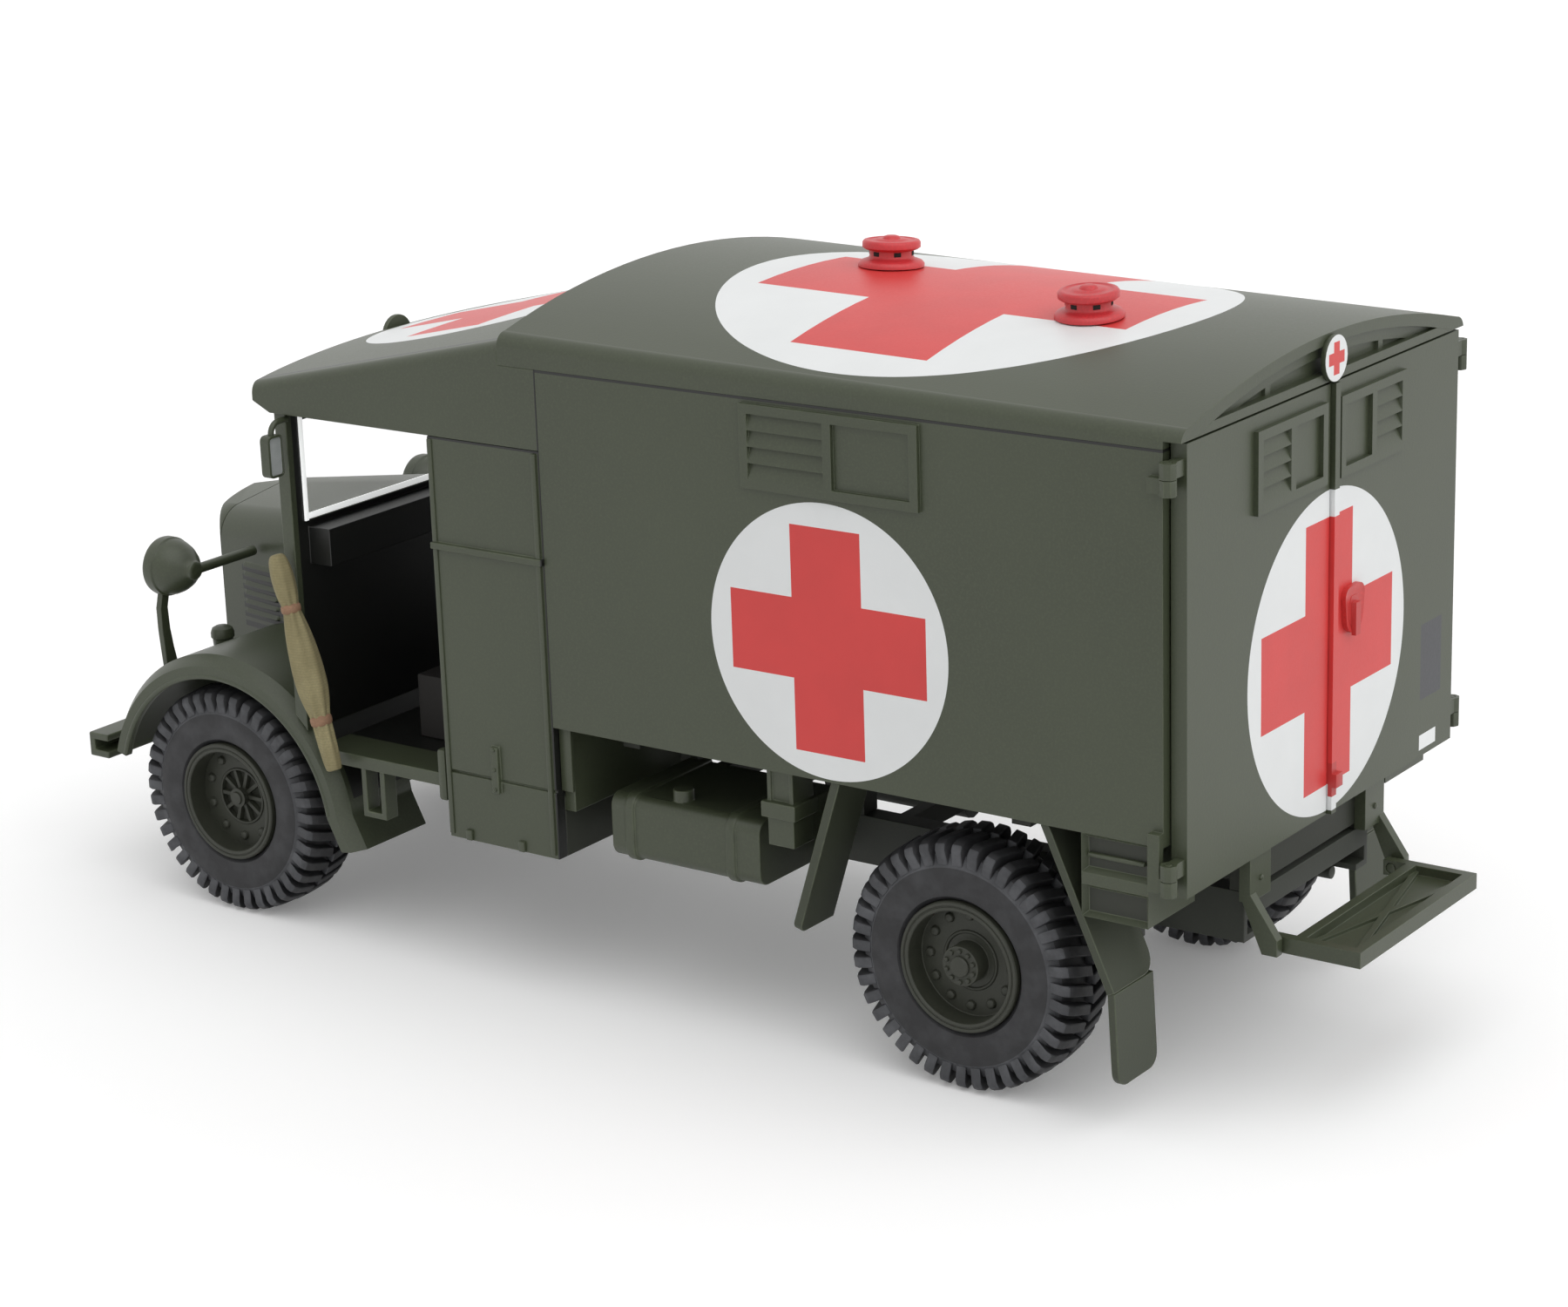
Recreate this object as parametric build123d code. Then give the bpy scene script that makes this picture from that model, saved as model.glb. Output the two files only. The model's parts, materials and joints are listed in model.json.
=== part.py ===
"""Scale model of a four-wheeled army ambulance truck: separate pieces, free wheels, hung rear doors
and a folding rear step. Millimetres. +X is forwards, +Y is the vehicle's left, +Z is up."""

import os
from math import atan, atan2, cos, degrees, hypot, pi, radians, sin

from build123d import *

# Driving dimensions. Lengths along the truck are measured forwards from the rear axle,
# widths from the middle plane and heights from the ground.

# Fits
RUN_GAP = 0.05
FIT_GAP = 0.06
SIDE_GAP = 0.2

# Wheels
WHEELBASE = 70.9
TRACK = 32.8
TYRE_R = 9.55
TYRE_W = 5.8
TREAD_W = 3.2
TREAD_DEPTH = 0.6
SHOULDER_DEPTH = 1.75
LUG_COUNT = 40
LUG_SHARE = 0.52
RIM_R = 4.9
RIM_WALL = 0.7
RIM_SET_IN = 0.1
DISC_SET_IN = 1.8
HUB_R = 1.5
HUB_SET_IN = 0.35
HUB_CAP_R = 0.75
FIN_COUNT = 10
FIN_T = 0.3
FIN_RING_R = 2.25
FIN_RING_DEPTH = 0.5
SPINDLE_R = 0.8
DRUM_R = 3.3
DRUM_T = 1.5
HIDDEN_SIDES = 12
ROUND_SIDES = 24

# Chassis
RAIL_OUT_Y = 9.4
RAIL_W = 1.8
RAIL_LOW_Z = 11.6
RAIL_H = 3.8
RAIL_WALL = 0.5
RAIL_REAR_X = -17.5
CROSS_T = 1.2
CROSS_H = 1.7
CROSS_AHEAD = 1.5
CAB_CROSS_BACK = 4.3
AXLE_CROSS_BACK = 0.9
MIDDLE_CROSS_SHARES = (0.17, 0.44)
SPRING_HALF = 8.6
SPRING_W = 1.5
SPRING_T = 1.1
SPRING_DROP = 1.9
SHACKLE_L = 1.4
SHACKLE_H = 0.6
AXLE_TUBE_R = 1.15
AXLE_END_GAP = 1.6
BEAM_W = 1.8
BEAM_H = 2.0
BEAM_WALL = 0.5
DIFF_R = 2.7
DIFF_NOSE = 1.4
SHAFT_R = 0.7
PIPE_R = 0.5
PIPE_Y = -6.2
SILENCER_R = 1.3
ENGINE_HALF_W = 3.6
GEARBOX_HALF_W = 2.4
GEARBOX_H = 2.3
GEARBOX_L = 9.6

# Ambulance body
BODY_W = 41.6
WALL_T = 1.0
BODY_FRONT_BACK = 36.2
BODY_REAR_X = -17.6
FLOOR_Z = 22.2
FLOOR_T = 1.2
WALL_TOP_Z = 49.5
ROOF_T = 0.8
ROOF_NOSE = 3.5
ROOF_EDGE_Z = 51.9
ROOF_CROWN = 2.6
ROOF_FALL = 1.0
ROOF_ROUND = 1.1
BEAD = 0.35
LOUVRES = 4
SIDE_SHUTTER = (1.25, 16.2, 43.0, 49.1)
BEARER_W = 1.6
BEARER_H = 2.2
BEARER_BACK = 4.7
BEARER_SET_IN = 4.4
BEARER_SHARES = (0.205, -0.063)
VENT_R = 2.5
VENT_BASE_R = 3.1
VENT_H = 2.3
VENTS = ((20.0, -4.0), (-2.1, 4.0))
SIGN_R = 1.65
SIGN_T = 0.4

# Rear doors
DOOR_T = 1.2
DOOR_GAP = 0.15
DOOR_LOW_Z = 18.6
DOOR_RISE = 0.4
DOOR_SET_IN = 0.8
DOOR_SHUTTER = (1.0, 11.0, 43.0, 48.8)
HINGE_OUT = 0.6
HINGE_R = 0.6
HINGE_PIN_R = 0.25
HINGE_LEAF_H = 1.1
HINGE_LEAF_L = 0.9
HINGE_HEIGHTS = (20.3, 47.8)
HANDLE_Y = -3.2
HANDLE_Z = 32.9
HANDLE_W = 1.6
HANDLE_H = 2.3
LATCH_Z = 21.1
LATCH_W = 1.0

# Rear header
HEADER_T = 0.9
HEADER_LEDGE_H = 0.65
HEADER_SUNK = 0.3
HEADER_MARGIN = 0.9
HEADER_RIB_W = 0.7
HEADER_RIB_YS = (-8.3, 8.3)

# Cab
CAB_SET_IN = 0.5
CAB_FLOOR_T = 1.1
CAB_FRONT_BACK = 9.4
CAB_FRONT_T = 1.2
PANEL_L = 10.8
PANEL_TOP_Z = 43.4
PANEL_BEAD_Z = 34.9
LOCKER_LOW_Z = 11.7
LOCKER_GAP = 2.9
LOCKER_SPLIT_Z = 17.2
LOCKER_HINGE_SHARE = 0.528
LOCKER_HINGE_H = 3.7
SCREEN_LOW_Z = 34.5
SCREEN_TOP_Z = 42.5
SCREEN_SIDE_W = 1.7
SCREEN_POST_W = 1.0
GLASS_T = 0.5
DASH_D = 2.2
DASH_H = 3.0
VISOR_AHEAD = 1.7
CAB_ROOF_BOW = 3.1
CAB_ROOF_FRONT_Z = 45.7
CAB_ROOF_REAR_Z = 51.3
CAB_ROOF_CROWN = 0.9
CAB_ROOF_ROUND = 1.0
VISOR_RISE = 0.47
FOOT_STRAP_BACK = 7.6
FOOT_STRAP_W = 2.4
FOOT_STRAP_D = 1.4
FOOT_STRAP_DROP = 4.0
FOOT_STRAP_T = 0.5
SEAT_AHEAD = 2.0
SEAT_Y = 9.5
SEAT_W = 9.2
SEAT_L = 6.5
SEAT_H = 5.2
SEAT_BACK_H = 13.5
SEAT_BACK_T = 1.5
STEER_R = 4.3
STEER_T = 0.7
STEER_AHEAD = 6.3
STEER_Z = 30.0
STEER_FOOT_Z = 20.5
STEER_SIDES = 24
MIRROR_BACK = 1.8
MIRROR_OUT = 1.2
MIRROR_W = 1.5
MIRROR_T = 0.7
MIRROR_LOW_Z = 38.9
MIRROR_H = 3.2
MIRROR_ARM = 0.4
ROLL_R = 1.3
ROLL_END_R = 0.75
ROLL_SIDES = 8
ROLL_TOP_BACK = 0.5
ROLL_TOP_Z = 32.4
ROLL_LOW_BACK = 5.1
ROLL_LOW_Z = 15.4

# Bonnet, wings, bumper and lamps
BONNET_AHEAD = 10.1
NOSE_BOW = 3.0
BONNET_LOW_Z = 17.5
BONNET_HALF_FRONT = 7.6
BONNET_HALF_REAR = 11.0
BONNET_RIDGE_FRONT_Z = 30.9
BONNET_RIDGE_REAR_Z = 33.4
BONNET_SIDE_FALL = 0.127
BONNET_ROUND = 2.8
BONNET_WALL = 0.8
SLATS = 6
SLAT_FRONT = 3.2
SLAT_L = 4.3
SLAT_H = 0.45
SLAT_OUT = 0.3
SLAT_LOW_Z = 21.9
SLAT_PITCH = 0.8
GRILLE_SLOTS = 9
GRILLE_SLOT_W = 0.7
GRILLE_SLOT_D = 0.8
GRILLE_MARGIN = 1.4
WING_CENTRE_BACK = 0.6
WING_CENTRE_Z = 8.9
WING_ARCH_R = 11.4
WING_CROWN_R = 13.2
WING_BEVEL = 1.1
WING_OVER = 0.9
WING_T = 0.7
WING_FRONT_DEG = 16.0
WING_REAR_DEG = 172.0
WING_TAIL_L = 2.9
WING_TAIL_DEG = 63.0
WING_TAIL_IN_Y = 12.0
BUMPER_AHEAD = 17.4
BUMPER_HALF_W = 17.6
BUMPER_LOW_Z = 10.2
BUMPER_H = 2.1
BUMPER_D = 2.2
BUMPER_WALL = 0.6
LAMP_AHEAD = 8.7
LAMP_Y = 16.0
LAMP_Z = 27.7
LAMP_R = 2.45
LAMP_BACK_R = 1.0
LAMP_RIM_L = 1.3
LAMP_L = 4.2
LAMP_LIP = 0.35
LAMP_DOME = 0.8
LAMP_ARM = 0.9
LAMP_TIE = 0.7
SIDE_LAMP_AHEAD = 5.7
SIDE_LAMP_Y = 12.6
SIDE_LAMP_R = 0.75
SIDE_LAMP_H = 1.4

# Side and rear fittings
TANK_BACK = 4.0
TANK_GAP = 1.35
TANK_IN = 1.5
TANK_LOW_Z = 12.3
TANK_TOP_Z = 17.3
TANK_ROUND = 1.0
TANK_STRAP_W = 0.8
TANK_STRAP_T = 0.2
TANK_STRAP_SHARES = (0.16, 0.84)
FILLER_SHARE = 0.584
FILLER_R = 0.8
FILLER_H = 0.9
CARRIER_X = 14.5
CARRIER_W = 2.3
CARRIER_D = 2.6
CARRIER_LOW_Z = 16.2
CARRIER_BAND_Z = 18.4
CARRIER_BAND_H = 1.2
TOOL_BOX_REAR_X = -16.4
TOOL_BOX_L = 5.2
TOOL_BOX_H = 6.0
TOOL_BOX_D = 6.4
TOOL_BOX_RIM = 0.5
FLAP_SET_IN = 0.2
FLAP_FRONT_W = 4.4
FLAP_REAR_W = 5.8
FLAP_T = 0.8
STEP_HALF_W = 9.2
STEP_HINGE_Z = 12.0
STEP_LENGTH = 6.5
STEP_T = 1.2
STEP_CLEAR = 0.35
STEP_RAIL_W = 0.8
STEP_TRAY_T = 0.5
STEP_RIB_W = 0.5
STEP_RIB_H = 0.25
STEP_PIN_R = 0.35
HANGER_W = 3.0
HANGER_T = 0.9
HANGER_ARM_T = 0.8

# Worked-out places
AXLE_Z = TYRE_R
HALF_TYRE = TYRE_W / 2
WHEEL_Y = TRACK / 2
BEAM_END_Y = WHEEL_Y - HALF_TYRE - AXLE_END_GAP
HALF_BODY = BODY_W / 2
INNER_Y = HALF_BODY - WALL_T
CAB_Y = HALF_BODY - CAB_SET_IN
RAIL_TOP_Z = RAIL_LOW_Z + RAIL_H
RAIL_IN_Y = RAIL_OUT_Y - RAIL_W
CROSS_TOP_Z = RAIL_TOP_Z - RAIL_WALL
CROSS_LOW_Z = CROSS_TOP_Z - CROSS_H
CAB_FLOOR_Z = RAIL_TOP_Z + CAB_FLOOR_T
FRONT_AXLE_X = WHEELBASE
BODY_FRONT_X = FRONT_AXLE_X - BODY_FRONT_BACK
ROOF_FRONT_X = BODY_FRONT_X + ROOF_NOSE
PANEL_FRONT_X = BODY_FRONT_X + PANEL_L
LOCKER_HINGE_X = BODY_FRONT_X + PANEL_L * LOCKER_HINGE_SHARE
CAB_FRONT_X = FRONT_AXLE_X - CAB_FRONT_BACK
CAB_BACK_X = CAB_FRONT_X - CAB_FRONT_T
CAB_ROOF_FRONT_X = CAB_FRONT_X + VISOR_AHEAD
FOOT_STRAP_X = CAB_FRONT_X - FOOT_STRAP_BACK
MIRROR_X = CAB_FRONT_X - MIRROR_BACK
ROLL_TOP = (CAB_FRONT_X - ROLL_TOP_BACK, ROLL_TOP_Z)
ROLL_LOW = (CAB_FRONT_X - ROLL_LOW_BACK, ROLL_LOW_Z)
SEAT_X = PANEL_FRONT_X + SEAT_AHEAD
STEER_X = SEAT_X + STEER_AHEAD
BONNET_FRONT_X = FRONT_AXLE_X + BONNET_AHEAD
BUMPER_FRONT_X = FRONT_AXLE_X + BUMPER_AHEAD
LAMP_X = FRONT_AXLE_X + LAMP_AHEAD
SIDE_LAMP_X = FRONT_AXLE_X + SIDE_LAMP_AHEAD
TANK_REAR_X = CARRIER_X + CARRIER_W / 2 + TANK_GAP
TANK_L = BODY_FRONT_X - TANK_BACK - TANK_REAR_X
FILLER_X = TANK_REAR_X + TANK_L * FILLER_SHARE
WING_X = FRONT_AXLE_X - WING_CENTRE_BACK
WING_OUT_Y = WHEEL_Y + HALF_TYRE + WING_OVER
WING_IN_Y = BONNET_HALF_FRONT - BONNET_WALL
DOOR_TOP_Z = WALL_TOP_Z + DOOR_RISE
DOOR_IN_X = BODY_REAR_X - DOOR_GAP
DOOR_OUT_X = DOOR_IN_X - DOOR_T
DOOR_EDGE_Y = HALF_BODY - DOOR_SET_IN
HINGE_X = (DOOR_IN_X + DOOR_OUT_X) / 2
HINGE_Y = HALF_BODY + HINGE_OUT
ROOF_REAR_X = DOOR_OUT_X
HEADER_X = BODY_REAR_X - HEADER_T
STEP_HINGE_X = DOOR_OUT_X - STEP_T / 2 - STEP_CLEAR
STEP_REAR_X = STEP_HINGE_X - STEP_LENGTH
CENTRE_X = (BUMPER_FRONT_X + STEP_REAR_X) / 2
NOSE_X = BONNET_FRONT_X + NOSE_BOW
CROSS_XS = (
    RAIL_REAR_X,
    *[WHEELBASE * share for share in MIDDLE_CROSS_SHARES],
    PANEL_FRONT_X + CROSS_AHEAD,
    CAB_BACK_X - CAB_CROSS_BACK,
    FRONT_AXLE_X - AXLE_CROSS_BACK,
    BONNET_FRONT_X + CROSS_AHEAD,
)
BEARER_XS = (BODY_FRONT_X - BEARER_BACK, *[WHEELBASE * share for share in BEARER_SHARES])
# Ventilator rings: radius, low z, high z
VENT_RINGS = (
    (VENT_BASE_R, 0.0, VENT_H * 0.25),
    (VENT_R * 0.8, 0.0, VENT_H),
    (VENT_R, VENT_H * 0.6, VENT_H),
)
FAR = 3 * WHEELBASE

nodes = {}


def box(x, y, z):
    """A block between two x, two y and two z values."""
    (x0, x1), (y0, y1), (z0, z1) = sorted(x), sorted(y), sorted(z)
    return Pos((x0 + x1) / 2, (y0 + y1) / 2, (z0 + z1) / 2) * Box(x1 - x0, y1 - y0, z1 - z0)


def plate_xz(points, y0, y1):
    """A side outline of (x, z) points, as thick as the two y values are apart."""
    face = make_face(Polyline(*[(x, y0, z) for x, z in points], close=True))
    return extrude(face, amount=y1 - y0, dir=(0, 1, 0))


def plate_yz(points, x0, x1):
    """A front outline of (y, z) points, as thick as the two x values are apart."""
    face = make_face(Polyline(*[(x0, y, z) for y, z in points], close=True))
    return extrude(face, amount=x1 - x0, dir=(1, 0, 0))


def bar(start, end, radius):
    """A round bar from one point to another."""
    run = Vector(end) - Vector(start)
    low = (Align.CENTER, Align.CENTER, Align.MIN)
    return Plane(origin=start, z_dir=run) * Cylinder(radius, run.length, align=low)


def flat_bar(start, end, radius, sides):
    """A bar with flat sides from one point to another."""
    run = Vector(end) - Vector(start)
    return Plane(origin=start, z_dir=run) * extrude(RegularPolygon(radius, sides), amount=run.length)


def flat_cone(start, end, radius, end_radius, sides):
    """A bar with flat sides that is thinner at its end."""
    run = Vector(end) - Vector(start)
    lean = degrees(atan((radius - end_radius) * cos(pi / sides) / run.length))
    return Plane(origin=start, z_dir=run) * extrude(
        RegularPolygon(radius, sides), amount=run.length, taper=lean
    )


def flat_hole(start, end, radius, sides):
    """A cutter with flat sides that leaves room for a round bar of that radius."""
    return flat_bar(start, end, radius / cos(pi / sides), sides)


def across(x, z, y0, y1, radius):
    """A round bar that lies across the truck."""
    return bar((x, min(y0, y1), z), (x, max(y0, y1), z), radius)


def other_side(shape):
    """The same shape on the truck's right side."""
    return mirror(shape, Plane.XZ)


def both_sides(shape):
    return Compound([*shape.solids(), *other_side(shape).solids()])


def biggest(shape):
    return max(shape.solids(), key=lambda solid: solid.volume)


def turned(profile, start=0.0, sweep=360.0):
    """A profile of (radius, y) points turned about the Y axis, with its pole at the origin."""
    face = make_face(Polyline(*[(r, y, 0) for r, y in profile], close=True))
    return Rot(0, start, 0) * revolve(face, Axis.Y, revolution_arc=sweep)


# Wheels. A wheel is made at the origin with its outer face towards +Y.


def lug_ring(root_r, y0, y1):
    """A toothed ring of straight cross lugs, with a lug's flat tip on the ground."""
    pitch = 2 * pi / LUG_COUNT
    half = pitch * LUG_SHARE / 2
    tip_r = TYRE_R / cos(half)
    points = []
    for i in range(LUG_COUNT):
        mid = i * pitch - pi / 2
        for radius, angle in ((root_r, -half), (tip_r, -half), (tip_r, half), (root_r, half)):
            points.append((radius * cos(mid + angle), radius * sin(mid + angle)))
    return plate_xz(points, y0, y1)


def make_tyre():
    """A tyre whose lugs run over the tread and down both shoulders."""
    shoulder = lug_ring(TYRE_R - SHOULDER_DEPTH, -HALF_TYRE, HALF_TYRE)
    tread = lug_ring(TYRE_R - TREAD_DEPTH, -TREAD_W / 2, TREAD_W / 2)
    return shoulder.fuse(tread) - flat_hole((0, -TYRE_W, 0), (0, TYRE_W, 0), RIM_R, ROUND_SIDES)


def make_rim(front):
    """A deep disc wheel with a blind bore: a finned hub at the front, a hub flange at the rear."""
    lip_y = HALF_TYRE - RIM_SET_IN
    face_y = HALF_TYRE - DISC_SET_IN
    back_y = -HALF_TYRE + DRUM_T + SIDE_GAP
    bore_end = face_y - FIN_RING_DEPTH - SIDE_GAP
    hub_r = FIN_RING_R if front else HUB_R
    hub_y = face_y - FIN_RING_DEPTH if front else HALF_TYRE - HUB_SET_IN
    rim = turned(
        [
            (0, back_y),
            (RIM_R, back_y),
            (RIM_R, lip_y),
            (RIM_R - RIM_WALL, lip_y),
            (RIM_R - RIM_WALL, face_y),
            (hub_r, face_y),
            (hub_r, hub_y),
            (0, hub_y),
        ]
    )
    rim -= flat_hole((0, -TYRE_W, 0), (0, bore_end, 0), SPINDLE_R + RUN_GAP, HIDDEN_SIDES)
    if not front:
        return rim
    fin = box((0, hub_r + FIT_GAP), (hub_y, face_y), (-FIN_T / 2, FIN_T / 2))
    fins = [Rot(0, 360 * i / FIN_COUNT, 0) * fin for i in range(FIN_COUNT)]
    cap = flat_bar((0, hub_y, 0), (0, face_y + FIN_RING_DEPTH, 0), HUB_CAP_R, HIDDEN_SIDES)
    return rim.fuse(cap, *fins)


def place_wheels():
    tyre = make_tyre()
    for end, x in (("front", FRONT_AXLE_X), ("rear", 0.0)):
        spot = Pos(x, WHEEL_Y, AXLE_Z)
        rim = make_rim(end == "front")
        nodes[f"tyre_{end}_left"] = spot * tyre
        nodes[f"tyre_{end}_right"] = other_side(spot * tyre)
        nodes[f"rim_{end}_left"] = spot * rim
        nodes[f"rim_{end}_right"] = other_side(spot * rim)


# Axles, springs and chassis


def spindle(x, inner_y):
    """A brake drum with the spindle that a left wheel turns on, from an inner y outwards."""
    drum_y = WHEEL_Y - HALF_TYRE
    end_y = WHEEL_Y + HALF_TYRE - DISC_SET_IN - FIN_RING_DEPTH - 2 * SIDE_GAP
    drum = flat_bar((x, drum_y, AXLE_Z), (x, drum_y + DRUM_T, AXLE_Z), DRUM_R, HIDDEN_SIDES)
    neck = flat_bar((x, inner_y, AXLE_Z), (x, drum_y + DRUM_T, AXLE_Z), AXLE_TUBE_R, HIDDEN_SIDES)
    pin = flat_bar((x, drum_y + DRUM_T / 2, AXLE_Z), (x, end_y, AXLE_Z), SPINDLE_R, HIDDEN_SIDES)
    return drum.fuse(neck, pin)


def make_axles():
    tube = flat_bar((0, -WHEEL_Y, AXLE_Z), (0, WHEEL_Y, AXLE_Z), AXLE_TUBE_R, HIDDEN_SIDES)
    tube = tube & box((-FAR, FAR), (-WHEEL_Y + HALF_TYRE, WHEEL_Y - HALF_TYRE), (0, FAR))
    half_diff = DIFF_R * 0.6
    diff = flat_bar((-half_diff, 0, AXLE_Z), (half_diff, 0, AXLE_Z), DIFF_R, HIDDEN_SIDES)
    nose = flat_bar((0, 0, AXLE_Z), (DIFF_R + DIFF_NOSE, 0, AXLE_Z), DIFF_R / 2, HIDDEN_SIDES)
    end = spindle(0, BEAM_END_Y)
    nodes["rear_axle"] = tube.fuse(diff, nose, end, other_side(end))

    low_z = AXLE_Z - BEAM_H * 0.7
    beam = box((-BEAM_W / 2, BEAM_W / 2), (-BEAM_END_Y, BEAM_END_Y), (low_z, low_z + BEAM_H))
    groove_z = (low_z + BEAM_WALL, low_z + BEAM_H - BEAM_WALL)
    groove = box((BEAM_WALL / 2, BEAM_W), (-WHEEL_Y, WHEEL_Y), groove_z)
    beam = Pos(FRONT_AXLE_X, 0, 0) * (beam - groove - mirror(groove, Plane.YZ))
    nodes["front_axle"] = beam
    fork = Pos(FRONT_AXLE_X, 0, 0) * box(
        (-BEAM_W / 2, BEAM_W / 2),
        (BEAM_END_Y, BEAM_END_Y + BEAM_W / 2),
        (AXLE_Z - BEAM_W, AXLE_Z + BEAM_W),
    )
    nodes["steering_knuckles"] = both_sides(fork.fuse(spindle(FRONT_AXLE_X, BEAM_END_Y + FIT_GAP)))


def leaf_spring(x):
    """A bowed leaf pack under the left rail, with a shackle block at each end."""
    y0 = RAIL_OUT_Y - RAIL_W / 2 - SPRING_W / 2
    eye_z = RAIL_LOW_Z - SHACKLE_H
    x0, x1 = x - SPRING_HALF, x + SPRING_HALF
    upper = ThreePointArc((x0, y0, eye_z), (x, y0, eye_z - SPRING_DROP), (x1, y0, eye_z))
    lower = ThreePointArc(
        (x1, y0, eye_z - SPRING_T),
        (x, y0, eye_z - SPRING_DROP - SPRING_T * 1.4),
        (x0, y0, eye_z - SPRING_T),
    )
    ends = [Line(upper @ 1, lower @ 0), Line(lower @ 1, upper @ 0)]
    pack = extrude(make_face(Curve() + [upper, lower, *ends]), amount=SPRING_W, dir=(0, 1, 0))
    blocks = [
        box((start, start + SHACKLE_L), (y0, y0 + SPRING_W), (eye_z - SHACKLE_H, RAIL_LOW_Z))
        for start in (x0, x1 - SHACKLE_L)
    ]
    return pack.fuse(*blocks)


def make_springs():
    low_z = AXLE_Z - BEAM_H * 0.7
    tube_room = flat_bar((0, -HALF_BODY, AXLE_Z), (0, HALF_BODY, AXLE_Z), AXLE_TUBE_R, HIDDEN_SIDES)
    beam_room = box(
        (FRONT_AXLE_X - BEAM_W / 2, FRONT_AXLE_X + BEAM_W / 2), (0, HALF_BODY), (low_z, low_z + BEAM_H)
    )
    rear = leaf_spring(0) - tube_room
    front = leaf_spring(FRONT_AXLE_X) - beam_room
    nodes["leaf_springs"] = Compound([*both_sides(rear).solids(), *both_sides(front).solids()])


def make_chassis():
    front_x = BUMPER_FRONT_X - BUMPER_D
    rail = box((RAIL_REAR_X, front_x), (RAIL_IN_Y, RAIL_OUT_Y), (RAIL_LOW_Z, RAIL_TOP_Z))
    hollow = box(
        (-FAR, FAR),
        (RAIL_IN_Y - RAIL_W, RAIL_OUT_Y - RAIL_WALL),
        (RAIL_LOW_Z + RAIL_WALL, RAIL_TOP_Z - RAIL_WALL),
    )
    rail = rail - hollow
    cross_y = RAIL_OUT_Y - RAIL_WALL
    cross = [box((x, x + CROSS_T), (-cross_y, cross_y), (CROSS_LOW_Z, CROSS_TOP_Z)) for x in CROSS_XS]
    nodes["chassis_frame"] = rail.fuse(other_side(rail), *cross)


def make_drive_line():
    bell_x = CAB_FRONT_X + DASH_D
    tail_x = bell_x - GEARBOX_L
    low_z = CROSS_LOW_Z - GEARBOX_H
    engine = box(
        (bell_x, BONNET_FRONT_X - NOSE_BOW),
        (-ENGINE_HALF_W, ENGINE_HALF_W),
        (CROSS_TOP_Z, BONNET_RIDGE_FRONT_Z - 2 * BONNET_ROUND),
    )
    bell = box((bell_x, bell_x + DASH_D), (-GEARBOX_HALF_W, GEARBOX_HALF_W), (low_z, CROSS_TOP_Z))
    gearbox = box((tail_x, bell_x), (-GEARBOX_HALF_W, GEARBOX_HALF_W), (low_z, CROSS_LOW_Z))
    nodes["engine_block"] = engine.fuse(bell, gearbox)
    rear_end = (DIFF_R + DIFF_NOSE + FIT_GAP, 0, AXLE_Z)
    front_end = (tail_x + DASH_D, 0, CROSS_LOW_Z - GEARBOX_H / 2)
    nodes["propeller_shaft"] = flat_bar(rear_end, front_end, SHAFT_R, HIDDEN_SIDES) - gearbox

    pipe_z = CROSS_LOW_Z - SILENCER_R - SIDE_GAP
    first, second = CROSS_XS[1], CROSS_XS[2]
    room = (second - first) * 0.15
    pipe = flat_bar((RAIL_REAR_X + CROSS_T, PIPE_Y, pipe_z), (tail_x, PIPE_Y, pipe_z), PIPE_R, HIDDEN_SIDES)
    ends = ((first + room, PIPE_Y, pipe_z), (second - room, PIPE_Y, pipe_z))
    silencer = flat_bar(*ends, SILENCER_R, HIDDEN_SIDES)
    straps = [
        box((x, x + CROSS_T), (PIPE_Y - PIPE_R / 2, PIPE_Y + PIPE_R / 2), (pipe_z, CROSS_LOW_Z))
        for x in (first, second)
    ]
    nodes["exhaust"] = pipe.fuse(silencer, *straps)


# Front end


def bonnet_block(inset, low_z):
    """The bonnet with its nose: a tapered plan, a falling ridge and two rounded shoulders."""
    front, rear = BONNET_HALF_FRONT - inset, BONNET_HALF_REAR - inset
    sides = Polyline(
        (BONNET_FRONT_X, front, low_z),
        (CAB_FRONT_X, rear, low_z),
        (CAB_FRONT_X, -rear, low_z),
        (BONNET_FRONT_X, -front, low_z),
    )
    nose = ThreePointArc(sides @ 1, (NOSE_X - inset, 0, low_z), sides @ 0)
    plan = extrude(make_face(Curve() + [sides, nose]), amount=BONNET_RIDGE_REAR_Z, dir=(0, 0, 1))
    fall = degrees(atan2(BONNET_RIDGE_REAR_Z - BONNET_RIDGE_FRONT_Z, BONNET_FRONT_X - CAB_FRONT_X))
    wide = 2 * BONNET_HALF_REAR
    drop = wide * BONNET_SIDE_FALL
    gable = plate_yz([(-wide, -drop), (0, 0), (wide, -drop), (wide, -FAR), (-wide, -FAR)], -FAR, FAR)
    block = plan & (Pos(CAB_FRONT_X, 0, BONNET_RIDGE_REAR_Z - inset) * Rot(0, fall, 0) * gable)
    shoulders = [
        edge
        for edge in block.edges()
        if edge.length > (BONNET_FRONT_X - CAB_FRONT_X) * 0.9
        and edge.center().Z > BONNET_RIDGE_FRONT_Z * 0.85
        and abs(edge.center().Y) > front / 2
    ]
    return fillet(shoulders, BONNET_ROUND - inset)


def wing_room(gap):
    """The space that a left wing and its wheel well fill, out to a gap."""
    return across(WING_X, WING_CENTRE_Z, WING_IN_Y - gap, WING_OUT_Y + WING_OVER, WING_CROWN_R + gap)


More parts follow.
